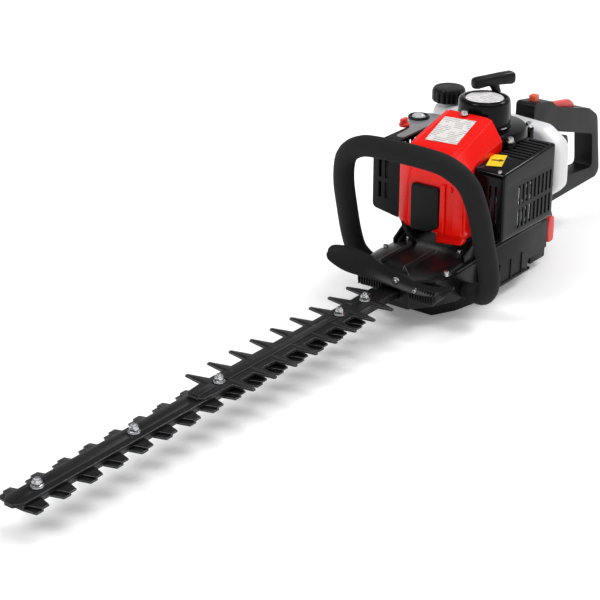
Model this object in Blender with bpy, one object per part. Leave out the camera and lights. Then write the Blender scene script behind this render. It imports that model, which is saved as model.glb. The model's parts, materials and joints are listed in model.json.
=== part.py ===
"""Petrol hedge trimmer with a double-sided blade, modelled sub-part by sub-part.

Axes: +X along the blade to its tip, +Y to the operator's left (muffler side), +Z up.
Origin: on the floor, under the crankshaft, in the plane of the base's underside.
Sizes below are in millimetres; finish() turns each mesh into Blender's metres.
"""
import math

import bmesh
import bpy
from mathutils import Matrix, Vector

MM = 0.001
GAP = 0.3
ROUND = 20

# blade unit
BAR_HALF_WIDTH = 12.0
BAR_START_X = 157.0
BAR_TIP_X = 789.0
BAR_BOTTOM_Z = 40.6
BAR_TOP_Z = 44.6
BLADE_START_X = 124.0
BLADE_END_X = 781.0
BLADE_HALF_WIDTH = 11.0
BLADE_THICKNESS = 2.0
LOWER_BLADE_Z = 36.0
UPPER_BLADE_Z = 38.3
TOOTH_PITCH = 35.0
TOOTH_REACH = 25.2
UPPER_TOOTH_X = 767.0
LOWER_TOOTH_X = 774.0
TEETH_PER_SIDE = 15
BLADE_FORWARD = 12.25
BLADE_BACK = 5.25
GUARD_START_X = 206.0
GUARD_END_X = 536.0
GUARD_TOP_Z = 47.4
GUARD_REACH = 38.2
FAR_SPIKE_X = 221.0
FAR_SPIKES = 9
NEAR_SPIKE_X = 239.5
NEAR_SPIKES = 8
BOLT_X = (239.0, 287.0, 494.0, 622.0, 752.0)
BOLT_RADIUS = 3.0
GUARD_HALF_SPAN = 97.0

# drive
ECCENTRIC_OFFSET = 8.75
ECCENTRIC_RADIUS = 14.0
GEAR_MODULE = 1.75
GEAR_TEETH = 48
PINION_TEETH = 10
GEAR_X = GEAR_MODULE * (GEAR_TEETH + PINION_TEETH) / 2
GEAR_LOW_Z = 46.0
GEAR_HIGH_Z = 54.0
ROD_PIN_X = 136.0
ROD_HALF_WIDTH = 7.0
CASE_LOW_Z = 24.0
CASE_FLOOR_Z = 28.0
CASE_HIGH_Z = 58.0

# engine
CYLINDER_Z = 112.0
BORE_RADIUS = 17.3
PISTON_RADIUS = 17.0
CRANK_THROW = 14.0
ROD_LENGTH = 50.0
WEB_RADIUS = 20.0
SHAFT_RADIUS = 8.0
CRANKCASE_RADIUS = 38.0
CYLINDER_START_X = 38.5
CYLINDER_END_X = 98.0
FIN_RADIUS = 32.0
FIN_COUNT = 7
HOUSING_RADIUS = 55.0
HOUSING_TOP_RADIUS = 52.0
HOUSING_LOW_Z = 145.0
HOUSING_TOP_Z = 192.0
CAP_RADIUS = 32.0
CAP_TOP_Z = 226.0
PULL_X = -42.0
PULL_Y = 2.0
GRIP_CENTRE = (-33.0, -9.0, 236.0)
WALL = 2.5

# frame, handles and tank
SWIVEL_Z = 40.0
COLLAR_RADIUS = 40.0
DRUM_RADIUS = 38.0
COLLAR_FRONT_X = -40.0
COLLAR_REAR_X = -100.0
TUBE_RADIUS = 12.5
HANDLE_HALF_WIDTH = 12.5
TANK_REAR_X = -89.0
TANK_FRONT_X = -57.5
FUEL_CAP_XY = (-73.0, -96.0)

BLACK = (0.02, 0.02, 0.022)
GREY = (0.16, 0.16, 0.17)
STEEL = (0.55, 0.56, 0.58)
DARK_STEEL = (0.06, 0.06, 0.065)
ALUMINIUM = (0.62, 0.63, 0.65)
RED = (0.80, 0.03, 0.02)
WHITE = (0.85, 0.86, 0.86)
ORANGE = (0.75, 0.12, 0.04)
RUBBER = (0.03, 0.03, 0.03)


def clear_scene():
    for thing in list(bpy.data.objects):
        bpy.data.objects.remove(thing, do_unlink=True)


def material(name, colour, roughness=0.5, metallic=0.0):
    made = bpy.data.materials.new(name)
    made.use_nodes = True
    shader = made.node_tree.nodes["Principled BSDF"]
    shader.inputs["Base Color"].default_value = (*colour, 1.0)
    shader.inputs["Roughness"].default_value = roughness
    shader.inputs["Metallic"].default_value = metallic
    made.diffuse_color = (*colour, 1.0)
    return made


def finish(name, bm, colour, roughness=0.5, metallic=0.0, pivot=(0, 0, 0)):
    """Make the object of a mesh drawn in millimetres, with its origin on pivot."""
    bmesh.ops.recalc_face_normals(bm, faces=bm.faces)
    shift = Matrix.Translation(-Vector(pivot))
    bm.transform(Matrix.Scale(MM, 4) @ shift)
    mesh = bpy.data.meshes.new(name)
    bm.to_mesh(mesh)
    bm.free()
    mesh.materials.append(material(name, colour, roughness, metallic))
    mesh.shade_smooth()
    mesh.set_sharp_from_angle(angle=math.radians(35))
    thing = bpy.data.objects.new(name, mesh)
    thing.location = Vector(pivot) * MM
    bpy.context.collection.objects.link(thing)
    return thing


def helper(target, bm, operation):
    """Cut a millimetre mesh from an object, or join it on, with a live Boolean."""
    name = f"{target.name}_{operation.lower()}_{len(target.modifiers)}"
    tool = finish(name, bm, GREY)
    tool.hide_render = True
    tool.display_type = 'WIRE'
    step = target.modifiers.new(name, 'BOOLEAN')
    step.operation = operation
    step.solver = 'EXACT'
    step.object = tool


def cut(target, bm):
    helper(target, bm, 'DIFFERENCE')


def join(target, bm):
    helper(target, bm, 'UNION')


def bevelled(target, width, segments=1, angle=40):
    step = target.modifiers.new("soft_edges", 'BEVEL')
    step.width = width * MM
    step.segments = segments
    step.limit_method = 'ANGLE'
    step.angle_limit = math.radians(angle)


def on_axis(axis, u, v, w):
    return {"X": (w, u, v), "Y": (u, w, v), "Z": (u, v, w)}[axis]


def prism(outline, low, high, axis="Z", holes=()):
    """A flat outline with holes, extruded along an axis from low to high."""
    bm = bmesh.new()
    edges = []
    for loop in (outline, *holes):
        verts = [bm.verts.new(on_axis(axis, u, v, low)) for u, v in loop]
        edges += [bm.edges.new(pair) for pair in zip(verts, verts[1:] + verts[:1])]
    filled = bmesh.ops.triangle_fill(bm, use_beauty=True, use_dissolve=False, edges=edges)
    faces = [part for part in filled["geom"] if isinstance(part, bmesh.types.BMFace)]
    lifted = bmesh.ops.extrude_face_region(bm, geom=faces)
    verts = [part for part in lifted["geom"] if isinstance(part, bmesh.types.BMVert)]
    bmesh.ops.translate(bm, verts=verts, vec=on_axis(axis, 0, 0, high - low))
    bmesh.ops.recalc_face_normals(bm, faces=bm.faces)
    return bm


def box(low, high):
    bm = bmesh.new()
    bmesh.ops.create_cube(bm, size=1.0)
    low, high = Vector(low), Vector(high)
    bmesh.ops.scale(bm, vec=high - low, verts=bm.verts)
    bmesh.ops.translate(bm, vec=(low + high) / 2, verts=bm.verts)
    return bm


def turned(profile, centre=(0, 0, 0), axis="Z", steps=ROUND, closed=False):
    """Spin a profile of (radius, height) points about an axis through centre."""
    bm = bmesh.new()
    verts = [bm.verts.new((radius, 0, height)) for radius, height in profile]
    pairs = list(zip(verts, verts[1:]))
    if closed:
        pairs.append((verts[-1], verts[0]))
    edges = [bm.edges.new(pair) for pair in pairs]
    bmesh.ops.spin(bm, geom=verts + edges, cent=(0, 0, 0), axis=(0, 0, 1), dvec=(0, 0, 0),
                   angle=math.tau, steps=steps, use_merge=True, use_duplicate=False)
    bmesh.ops.remove_doubles(bm, verts=bm.verts, dist=0.001)
    if axis == "X":
        bm.transform(Matrix.Rotation(math.pi / 2, 4, "Y"))
    elif axis == "Y":
        bm.transform(Matrix.Rotation(-math.pi / 2, 4, "X"))
    bm.transform(Matrix.Translation(centre))
    bmesh.ops.recalc_face_normals(bm, faces=bm.faces)
    return bm


def disc(radius, low, high, centre=(0, 0), axis="Z", steps=ROUND):
    """A plain round bar along an axis; centre is its place across that axis."""
    profile = [(0, low), (radius, low), (radius, high), (0, high)]
    return turned(profile, on_axis(axis, *centre, 0), axis, steps)


def ring(inner, outer, low, high, centre=(0, 0), axis="Z", steps=ROUND):
    profile = [(inner, low), (outer, low), (outer, high), (inner, high)]
    return turned(profile, on_axis(axis, *centre, 0), axis, steps, closed=True)


def circle(u, v, radius, count=12, start=0.0):
    turns = [start + math.tau * i / count for i in range(count)]
    return [(u + radius * math.cos(turn), v + radius * math.sin(turn)) for turn in turns]


def slot(u_low, u_high, v, radius, count=5):
    """A slot along u with round ends."""
    points = []
    for centre, start in ((u_high, -math.pi / 2), (u_low, math.pi / 2)):
        for i in range(count + 1):
            turn = start + math.pi * i / count
            points.append((centre + radius * math.cos(turn), v + radius * math.sin(turn)))
    return points


def rounded(corners, radius, count=4):
    """Replace each corner (u, v) or (u, v, radius) of a loop by an arc."""
    points = []
    total = len(corners)
    for i, corner in enumerate(corners):
        here = Vector(corner[:2])
        size = corner[2] if len(corner) > 2 else radius
        before = Vector(corners[i - 1][:2]) - here
        after = Vector(corners[(i + 1) % total][:2]) - here
        if size <= 0:
            points.append(tuple(here))
            continue
        half = before.angle(after) / 2
        reach = min(size / math.tan(half), before.length * 0.49, after.length * 0.49)
        first = here + before.normalized() * reach
        last = here + after.normalized() * reach
        for step in range(count + 1):
            t = step / count
            points.append(tuple(first * (1 - t) ** 2 + here * 2 * t * (1 - t) + last * t ** 2))
    return points


def mirrored(half):
    """Close a half outline given from +u, at positive v, by its mirror image."""
    return list(half) + [(u, -v) for u, v in reversed(half) if abs(v) > 0.001]


def gear_outline(teeth, centre, phase):
    """Straight-flanked teeth with running clearance on both flanks."""
    pitch_radius = GEAR_MODULE * teeth / 2
    points = []
    for i in range(teeth):
        middle = phase + math.tau * i / teeth
        for depth, turn in ((-1.2, -0.26), (0.75, -0.12), (0.75, 0.12), (-1.2, 0.26)):
            radius = pitch_radius + depth * GEAR_MODULE
            angle = middle + turn * math.tau / teeth
            points.append((centre[0] + radius * math.cos(angle), centre[1] + radius * math.sin(angle)))
    return points


def loft(sections):
    """Bridge closed sections with the same number of 3-D points, and cap the ends."""
    bm = bmesh.new()
    rings = []
    for section in sections:
        verts = [bm.verts.new(point) for point in section]
        rings.append([bm.edges.new(pair) for pair in zip(verts, verts[1:] + verts[:1])])
    for first, second in zip(rings, rings[1:]):
        bmesh.ops.bridge_loops(bm, edges=first + second)
    bmesh.ops.holes_fill(bm, edges=rings[0] + rings[-1], sides=0)
    bmesh.ops.recalc_face_normals(bm, faces=bm.faces)
    return bm


def smooth_path(points, steps):
    """Points on a Catmull-Rom curve through the given points."""
    result = []
    padded = [points[0], *points, points[-1]]
    for i in range(1, len(padded) - 2):
        p0, p1, p2, p3 = (Vector(p) for p in padded[i - 1:i + 3])
        for step in range(steps):
            t = step / steps
            result.append(0.5 * ((2 * p1) + (p2 - p0) * t + (2 * p0 - 5 * p1 + 4 * p2 - p3) * t ** 2
                                 + (3 * p1 - p0 - 3 * p2 + p3) * t ** 3))
    result.append(Vector(points[-1]))
    return result


def tube(name, points, radius, colour, roughness):
    curve = bpy.data.curves.new(name, 'CURVE')
    curve.dimensions = '3D'
    curve.bevel_depth = radius * MM
    curve.bevel_resolution = 2
    curve.use_fill_caps = True
    spline = curve.splines.new('POLY')
    spline.points.add(len(points) - 1)
    for knot, point in zip(spline.points, points):
        knot.co = (*(Vector(point) * MM), 1.0)
    curve.materials.append(material(name, colour, roughness))
    thing = bpy.data.objects.new(name, curve)
    bpy.context.collection.objects.link(thing)
    return thing


def blade_outline(first_tooth_x):
    """Half of a cutter blade: a strip with trapezoid teeth along its edge."""
    points = [(BLADE_END_X, BLADE_HALF_WIDTH)]
    for i in range(TEETH_PER_SIDE):
        x = first_tooth_x - TOOTH_PITCH * i
        tooth = ((9.0, BLADE_HALF_WIDTH), (4.6, TOOTH_REACH), (-4.6, TOOTH_REACH),
                 (-9.0, BLADE_HALF_WIDTH))
        points += [(min(x + dx, BLADE_END_X), y) for dx, y in tooth]
    points.append((BLADE_START_X, BLADE_HALF_WIDTH))
    if first_tooth_x + 9.0 > BLADE_END_X:
        points.pop(0)
    return mirrored(points)


def make_blade(name, low, first_tooth_x, forward, back):
    clear = BOLT_RADIUS + 0.6
    slots = [slot(x - forward, x + back, 0, clear) for x in BOLT_X]
    slots.append(circle(ROD_PIN_X, 0, 3.3))
    bm = prism(blade_outline(first_tooth_x), low, low + BLADE_THICKNESS, holes=slots)
    return finish(name, bm, DARK_STEEL, 0.35, 0.9)


def make_bar():
    tip = [(BAR_TIP_X, 5.0), (BAR_TIP_X - 9, BAR_HALF_WIDTH), (BAR_START_X, BAR_HALF_WIDTH)]
    holes = [circle(x, 0, BOLT_RADIUS + GAP) for x in BOLT_X]
    bm = prism(mirrored(tip), BAR_BOTTOM_Z, BAR_TOP_Z, holes=holes)
    return finish("guide_bar", bm, DARK_STEEL, 0.4, 0.9)


def spike_side(first_x, count, side):
    points = []
    for i in range(count):
        x = first_x + TOOTH_PITCH * i
        points += [(x - 8.0, side * 14.0), (x - 1.8, side * GUARD_REACH),
                   (x + 1.8, side * GUARD_REACH), (x + 6.0, side * 14.0)]
    return points


def make_tooth_guard():
    near = spike_side(NEAR_SPIKE_X, NEAR_SPIKES, 1)
    far = spike_side(FAR_SPIKE_X, FAR_SPIKES, -1)
    front = [(GUARD_END_X - 6, 12.0), (GUARD_END_X, 6.0), (GUARD_END_X, -6.0),
             (GUARD_END_X - 6, -12.0)]
    rear = [(GUARD_START_X, -14.0), (GUARD_START_X, 14.0)]
    outline = near + front + list(reversed(far)) + rear
    holes = [circle(x, 0, BOLT_RADIUS + GAP) for x in BOLT_X[:3]]
    bm = prism(outline, BAR_TOP_Z + GAP, GUARD_TOP_Z, holes=holes)
    return finish("tooth_guard", bm, DARK_STEEL, 0.45, 0.8)


def make_blade_bolts():
    """Each pivot bolt with its lock nut, clamping through the slots of both blades."""
    for i, x in enumerate(BOLT_X):
        seat = GUARD_TOP_Z if x < GUARD_END_X else BAR_TOP_Z
        profile = [(0, 31.2), (6.4, 31.2), (6.4, 35.4), (BOLT_RADIUS, 35.4),
                   (BOLT_RADIUS, seat + 0.4), (7.5, seat + 0.4), (7.5, seat + 1.6), (5.8, seat + 1.6),
                   (5.8, seat + 6.4), (BOLT_RADIUS, seat + 6.4), (BOLT_RADIUS, seat + 9.4),
                   (0, seat + 9.4)]
        bm = turned(profile, (x, 0, 0), steps=8)
        finish(f"blade_bolt_{i + 1}", bm, STEEL, 0.25, 1.0)


def make_drive_rod(name, low, direction, forward, back):
    """A yoke plate: the ring clears its eccentric at every angle and every stroke."""
    reach = ECCENTRIC_RADIUS + ECCENTRIC_OFFSET + 0.6
    high = low + 3.0
    ring_hole = slot(GEAR_X - forward, GEAR_X + back, 0, reach, 8)
    outer = slot(GEAR_X - forward, GEAR_X + back, 0, reach + 4.5, 8)
    bm = prism(outer, low, high, holes=[ring_hole])
    rod = finish(name, bm, STEEL, 0.3, 1.0)
    start = GEAR_X + back + reach + 1.0
    round_end = slot(start, ROD_PIN_X, 0, ROD_HALF_WIDTH, 6)[:7]
    arm = [(start, -ROD_HALF_WIDTH), *round_end, (start, ROD_HALF_WIDTH)]
    join(rod, prism(arm, low, high))
    pin = (low - 1.9, low + 1.0) if direction < 0 else (high - 1.0, high + 1.9)
    join(rod, disc(2.9, *pin, centre=(ROD_PIN_X, 0), steps=12))
    return rod


def make_drive():
    make_drive_rod("upper_drive_rod", BAR_BOTTOM_Z, -1, BLADE_FORWARD, BLADE_BACK)
    make_drive_rod("lower_drive_rod", LOWER_BLADE_Z - 3.3, 1, BLADE_BACK, BLADE_FORWARD)
    pivot = (GEAR_X, 0, GEAR_LOW_Z)
    teeth = gear_outline(GEAR_TEETH, (GEAR_X, 0), math.pi / GEAR_TEETH)
    gear = finish("drive_gear", prism(teeth, GEAR_LOW_Z, GEAR_HIGH_Z), STEEL, 0.3, 1.0, pivot)
    join(gear, disc(6.0, CASE_FLOOR_Z + GAP, GEAR_HIGH_Z + 3, centre=(GEAR_X, 0)))
    join(gear, disc(ECCENTRIC_RADIUS, 40.0, 44.4, centre=(GEAR_X + ECCENTRIC_OFFSET, 0)))
    join(gear, disc(ECCENTRIC_RADIUS, 32.2, 36.2, centre=(GEAR_X - ECCENTRIC_OFFSET, 0)))
    finish("gear_bearing", ring(6.0 + GAP, 12.0, CASE_FLOOR_Z + GAP, 31.6, (GEAR_X, 0)),
           STEEL, 0.2, 1.0)


def case_outline(inset):
    """Half plan of the gear case, wider ahead of the gear than at the blade root."""
    half = [(189 - inset, 0), (189 - inset, 24 - inset), (166 - inset, 42 - inset),
            (136, 55 - inset), (104, 54 - inset), (-8, 52 - inset), (-34 + inset, 34 - inset)]
    return mirrored(half)


def make_gear_case():
    case = finish("gear_case", prism(case_outline(0), CASE_LOW_Z, CASE_HIGH_Z), BLACK, 0.45, 0.3)
    cut(case, prism(case_outline(4), CASE_FLOOR_Z, CASE_HIGH_Z + 5))
    mouth = BAR_HALF_WIDTH + 0.6
    cut(case, box((175, -mouth, 35.2), (200, mouth, BAR_TOP_Z + 0.6)))

    cover = finish("gear_case_cover", prism(case_outline(0), CASE_HIGH_Z + GAP, 61.5), BLACK, 0.4, 0.2)
    join(cover, loft([dome_section(104, 38, 66, 12), dome_section(130, 40, 71, 14),
                      dome_section(174, 34, 71, 14), dome_section(187, 22, 62.5, 10)]))
    for side in (-1, 1):
        ridge = [(side * y, z) for y, z in ((15, 64), (16, 74.5), (18, 74.5), (22, 64))]
        join(cover, prism(ridge, 126, 182, "X"))
    cut(cover, loft([dome_section(108, 34, 62.5, 10, 55), dome_section(130, 36, 67.5, 12, 55),
                     dome_section(171, 30, 67.5, 12, 55), dome_section(180, 18, 60, 8, 55)]))
    cut(cover, disc(10.5, 50, 70))
    cut(cover, disc(8.0, 50, 60, centre=(GEAR_X, 0)))


def dome_section(x, half, top, shoulder, low=59.0):
    """A cross-section of the front dome: flat top, sloping shoulders, upright skirt."""
    right = [(half, low), (half - 2, low + (top - low) * 0.35), (half - shoulder, top)]
    points = [(x, y, z) for y, z in right]
    points += [(x, -y, z) for y, z in reversed(right)]
    return points


def make_hand_guard():
    """A scooped shield across the blade root, with a ribbed foot at each side."""
    sections = []
    count = 11
    for i in range(count):
        along = 2 * i / (count - 1) - 1
        y = GUARD_HALF_SPAN * along
        x = 196.0 - 16.0 * along ** 2
        tip = 1 - abs(along) ** 5
        low = Vector((x + 3.0, y, 62.0 - 11.0 * tip))
        high = Vector((x - 3.0, y, 66.0 + 14.0 * tip - 6.0 * (1 - min(1.0, 3 * abs(along)))))
        thick = Vector((-3.5, 0, -0.5))
        sections.append([low, high, high + thick, low + thick])
    guard = finish("hand_guard", loft(sections), BLACK, 0.5)
    for side in (-1, 1):
        foot = [(side * 13.5, 42), (side * 46, 42), (side * 55, 50), (side * 52, 60), (side * 13.5, 60)]
        join(guard, prism(rounded(foot, 4), 191.5, 205.0, "X"))


def make_clutch():
    teeth = gear_outline(PINION_TEETH, (0, 0), 0.0)
    drum = finish("clutch_drum", prism(teeth, GEAR_LOW_Z, 55.0), STEEL, 0.3, 1.0)
    join(drum, disc(7.0, 45.6, 65.0))
    cup = [(0, 63.5), (28, 63.5), (28, 80), (25.7, 80), (25.7, 66.5), (0, 66.5)]
    join(drum, turned(cup))
    hub = finish("clutch_shoes", ring(SHAFT_RADIUS + GAP, 24.6, 68.0, 79.0), STEEL, 0.5, 0.8)
    for side in (-1, 1):
        cut(hub, box((side * 17 - 8, -1.5, 60), (side * 17 + 8, 1.5, 85)))
    housing = [(30, 61.8), (38, 61.8), (38, 66), (34, 68), (34, 83.6), (30, 83.6)]
    finish("clutch_housing", turned(housing, closed=True), ALUMINIUM, 0.5, 0.9)


def make_crankcase():
    mirror_z = 2 * CYLINDER_Z
    lower = [(9.5, 84), (CRANKCASE_RADIUS, 84), (CRANKCASE_RADIUS, 111.8), (24.5, 111.8),
             (24.5, 95), (16, 95), (16, 86.6), (9.5, 86.6)]
    upper = [(r, mirror_z - z) for r, z in lower]
    bearing = (87.0, 94.6)
    for name, profile in (("crankcase_lower", lower), ("crankcase_upper", upper)):
        half = finish(name, turned(profile, closed=True), ALUMINIUM, 0.55, 0.8)
        cut(half, disc(BORE_RADIUS + 0.6, 15, 50, centre=(0, CYLINDER_Z), axis="X"))
    finish("main_bearing_lower", ring(SHAFT_RADIUS + GAP, 15.7, *bearing), STEEL, 0.2, 1.0)
    finish("main_bearing_upper", ring(SHAFT_RADIUS + GAP, 15.7, mirror_z - bearing[1],
                                      mirror_z - bearing[0]), STEEL, 0.2, 1.0)


def make_crank():
    web_gap = 7.0
    web_thick = 8.0
    low, high = CYLINDER_Z - web_gap, CYLINDER_Z + web_gap
    lower = [(0, 67.8), (SHAFT_RADIUS, 67.8), (SHAFT_RADIUS, low - web_thick),
             (WEB_RADIUS, low - web_thick), (WEB_RADIUS, low), (0, low)]
    upper = [(0, high), (WEB_RADIUS, high), (WEB_RADIUS, high + web_thick),
             (SHAFT_RADIUS, high + web_thick), (SHAFT_RADIUS, 160), (0, 160)]
    finish("crankshaft_lower", turned(lower), STEEL, 0.3, 1.0)
    finish("crankshaft_upper", turned(upper), STEEL, 0.3, 1.0)
    pin_x = CRANK_THROW
    wrist_x = pin_x + ROD_LENGTH
    finish("crank_pin", disc(5.0, low + 0.4, high - 0.4, centre=(pin_x, 0), steps=16), STEEL, 0.2, 1.0)
    plan = [slot(pin_x + 4, wrist_x - 4, 0, 3.6), circle(pin_x, 0, 9.0, 16), circle(wrist_x, 0, 7.5, 16)]
    rod = finish("connecting_rod", prism(plan[0], CYLINDER_Z - 3, CYLINDER_Z + 3), STEEL, 0.35, 1.0)
    for ends in plan[1:]:
        join(rod, prism(ends, CYLINDER_Z - 5, CYLINDER_Z + 5))
    cut(rod, disc(5.0 + GAP, 90, 130, centre=(pin_x, 0), steps=16))
    cut(rod, disc(4.0 + GAP, 90, 130, centre=(wrist_x, 0), steps=16))
    finish("wrist_pin", disc(4.0, CYLINDER_Z - 15, CYLINDER_Z + 15, centre=(wrist_x, 0), steps=16),
           STEEL, 0.2, 1.0)
    crown_x = wrist_x + 20
    piston = turned([(0, crown_x), (PISTON_RADIUS, crown_x), (PISTON_RADIUS, crown_x - 32),
                     (13.5, crown_x - 32), (13.5, crown_x - 5), (0, crown_x - 5)],
                    (0, 0, CYLINDER_Z), "X")
    piston = finish("piston", piston, ALUMINIUM, 0.4, 0.9)
    cut(piston, disc(4.0 + GAP, 80, 150, centre=(wrist_x, 0), steps=16))


def make_cylinder():
    outer = [(22.0, CYLINDER_START_X)]
    pitch = (CYLINDER_END_X - CYLINDER_START_X - 8) / FIN_COUNT
    for i in range(FIN_COUNT):
        x = CYLINDER_START_X + 8 + pitch * i
        outer += [(22.0, x), (FIN_RADIUS, x), (FIN_RADIUS, x + 2.2), (22.0, x + 2.2)]
    outer += [(22.0, CYLINDER_END_X), (6.0, CYLINDER_END_X), (6.0, 86.5)]
    outer += [(BORE_RADIUS, 86.5), (BORE_RADIUS, CYLINDER_START_X)]
    cylinder = turned(outer, (0, 0, CYLINDER_Z), "X", 18, closed=True)
    cylinder = finish("cylinder", cylinder, ALUMINIUM, 0.5, 0.9)
    join(cylinder, box((58, 18.5, 96), (84, 45.4, 128)))
    join(cylinder, box((58, -45.4, 96), (84, -18.5, 128)))
    plug = [(0, 88), (5.4, 88), (5.4, 98.4), (8.5, 98.4), (8.5, 105), (4.5, 106), (4.0, 112), (0, 112)]
    finish("spark_plug", turned(plug, (0, 0, CYLINDER_Z), "X", 12), WHITE, 0.3)
    boot = [(0, 118), (7.0, 118), (9.0, 113), (8.0, 107), (4.9, 107), (4.9, 112.6), (0, 112.6)]
    boot = turned(boot, (0, 0, CYLINDER_Z), "X", 12)
    finish("spark_plug_boot", boot, RUBBER, 0.7)


def cover_section(x, half, low, side_top, top, top_half):
    right = [(half - 8, low), (half, low + 12), (half, side_top), (top_half, top)]
    return [(x, y, z) for y, z in right] + [(x, -y, z) for y, z in reversed(right)]


def make_engine_cover():
    outer = [cover_section(34, 46.5, 86, 190, 212, 30), cover_section(92, 46.5, 84, 178, 194, 33),
             cover_section(112, 45, 82, 172, 186, 30), cover_section(122, 38, 90, 162, 176, 26)]
    inner = [cover_section(20, 43.8, 60, 187, 209, 28), cover_section(92, 43.8, 60, 175.5, 191, 31),
             cover_section(110, 42.5, 60, 170, 183, 28), cover_section(119.4, 36, 70, 160, 173, 24)]
    cover = finish("engine_cover", loft(outer), RED, 0.25)
    cut(cover, loft(inner))
    for side in (-1, 1):
        low, high = sorted((side * 40, side * 50))
        cut(cover, box((55, low, 93), (87, high, 131)))
    cut(cover, disc(HOUSING_RADIUS + 0.8, 140, HOUSING_TOP_Z + 0.8, steps=32))
    panel = rounded([(-17, 94), (19, 92), (20, 150), (-16, 153)], 6)
    finish("plug_cover", prism(panel, 122.4, 125.4, "X"), BLACK, 0.6)


def make_starter():
    shell = [(0, HOUSING_TOP_Z), (HOUSING_TOP_RADIUS, HOUSING_TOP_Z), (HOUSING_RADIUS, HOUSING_TOP_Z - 34),
             (HOUSING_RADIUS, HOUSING_LOW_Z), (HOUSING_RADIUS - WALL, HOUSING_LOW_Z),
             (HOUSING_RADIUS - WALL, HOUSING_TOP_Z - 34), (HOUSING_TOP_RADIUS - WALL, HOUSING_TOP_Z - WALL),
             (5.0, HOUSING_TOP_Z - WALL), (5.0, 163), (0, 163)]
    housing = finish("starter_housing", turned(shell, steps=32), BLACK, 0.2)
    join(housing, disc(8.0, HOUSING_TOP_Z - 2, HOUSING_TOP_Z + 6, centre=(PULL_X, PULL_Y), steps=16))
    cut(housing, disc(2.4, HOUSING_TOP_Z - 8, HOUSING_TOP_Z + 12, centre=(PULL_X, PULL_Y), steps=12))
    low = HOUSING_TOP_Z + GAP
    cap = [(0, CAP_TOP_Z), (27.5, CAP_TOP_Z), (30.5, CAP_TOP_Z - 3), (CAP_RADIUS, low),
           (CAP_RADIUS - WALL, low), (28.0, CAP_TOP_Z - 5), (0, CAP_TOP_Z - 5)]
    finish("starter_cap", turned(cap, steps=32), BLACK, 0.15)
    reel = [(5.3, 164), (27, 164), (27, 166), (18, 166), (18, 176), (27, 176), (27, 178), (5.3, 178)]
    finish("starter_reel", turned(reel, closed=True), GREY, 0.5)
    finish("starter_rope", ring(18.4, 24, 166.4, 175.6), WHITE, 0.8)
    wheel = [(8.3, 143), (30, 143), (37, 147), (37, 156), (8.3, 156)]
    finish("flywheel", turned(wheel, closed=True), ALUMINIUM, 0.4, 0.9)
    finish("ignition_coil", box((39, -12, 146), (49, 12, 157)), BLACK, 0.5)

    grip = [(0, -29), (5, -29), (8, -25), (8, -8), (6.8, 0), (8, 8), (8, 25), (5, 29), (0, 29)]
    bm = turned(grip, steps=12, axis="X")
    bm.transform(Matrix.Translation(GRIP_CENTRE) @ Matrix.Rotation(math.radians(-22), 4, "Z"))
    handle = finish("starter_handle", bm, BLACK, 0.5, pivot=GRIP_CENTRE)
    foot_z = HOUSING_TOP_Z + 6.6
    stem = []
    for share, radius in ((0.0, 5.0), (0.25, 6.2), (0.8, 4.6), (1.0, 4.6)):
        middle = Vector((PULL_X, PULL_Y, foot_z)).lerp(Vector(GRIP_CENTRE), share)
        stem.append([(u, v, middle.z) for u, v in circle(middle.x, middle.y, radius)])
    join(handle, loft(stem))


def make_muffler():
    low_y = 47.2
    can = rounded([(0, 97), (84, 97), (84, 140), (0, 140)], 8, 3)
    muffler = finish("muffler", prism(can, 49, 80, "Y"), STEEL, 0.6, 0.9)
    join(muffler, box((60, 45.8, 98), (82, 50, 126)))
    shape = [(-20, 90), (95, 90), (96, 166), (88, 174), (-20, 181)]
    shell = finish("muffler_cover", prism(shape, low_y, 88, "Y"), BLACK, 0.15)
    hollow = [(-17.5, 92.5), (92.5, 92.5), (93.5, 165), (87, 171.4), (-17.5, 178.4)]
    bevelled(shell, 5.0, 2)
    cut(shell, prism(hollow, low_y - 5, 85.5, "Y"))
    cut(shell, disc(HOUSING_RADIUS + 0.8, 142, 200, steps=32))
    for row_low, row_high in ((104, 124), (132, 152)):
        for i in range(8):
            x = -8 + 9.5 * i
            cut(shell, box((x, 80, row_low), (x + 4, 95, row_high)))
    for i in range(3):
        y = 56 + 9 * i
        cut(shell, box((88, y, 102), (100, y + 3.5, 156)))


def make_intake():
    body = finish("carburetor", box((58, -60, 98), (84, -45.8, 126)), ALUMINIUM, 0.4, 0.9)
    join(body, disc(6.0, 120, 134, centre=(71, -54), steps=12))
    finish("air_filter", box((50, -86, 100), (86, -66, 150)), GREY, 0.9)
    shape = rounded([(-16, 98), (2, 86), (92, 86), (92, 172), (80, 184), (-16, 184)], 3, 1)
    shell = finish("air_box", prism(shape, -94, -56.5, "Y"), BLACK, 0.35)
    hollow = [(-13, 100), (3, 89), (89, 89), (89, 171), (79, 181), (-13, 181)]
    cut(shell, prism(hollow, -91, -40, "Y"))
    for low, high in ((105, 126), (131, 152)):
        for y in (-86, -77):
            cut(shell, box((85, y, low), (100, y + 5, high)))
    knob = turned([(0, 184.4), (6, 184.4), (6, 188), (4, 190), (4, 193), (0, 193)], (46, -82, 0), steps=12)
    choke = finish("choke_lever", knob, RED, 0.4, pivot=(46, -82, 184))
    join(choke, box((46, -83.5, 189), (59, -80.5, 194)))
    dome = [(0, 197), (4, 196.4), (7.5, 193.5), (9, 189.6), (9, 184.4), (0, 184.4)]
    bulb = turned(dome, (12, -84, 0), steps=16)
    finish("primer_bulb", bulb, WHITE, 0.2, pivot=(12, -84, 184))


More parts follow.
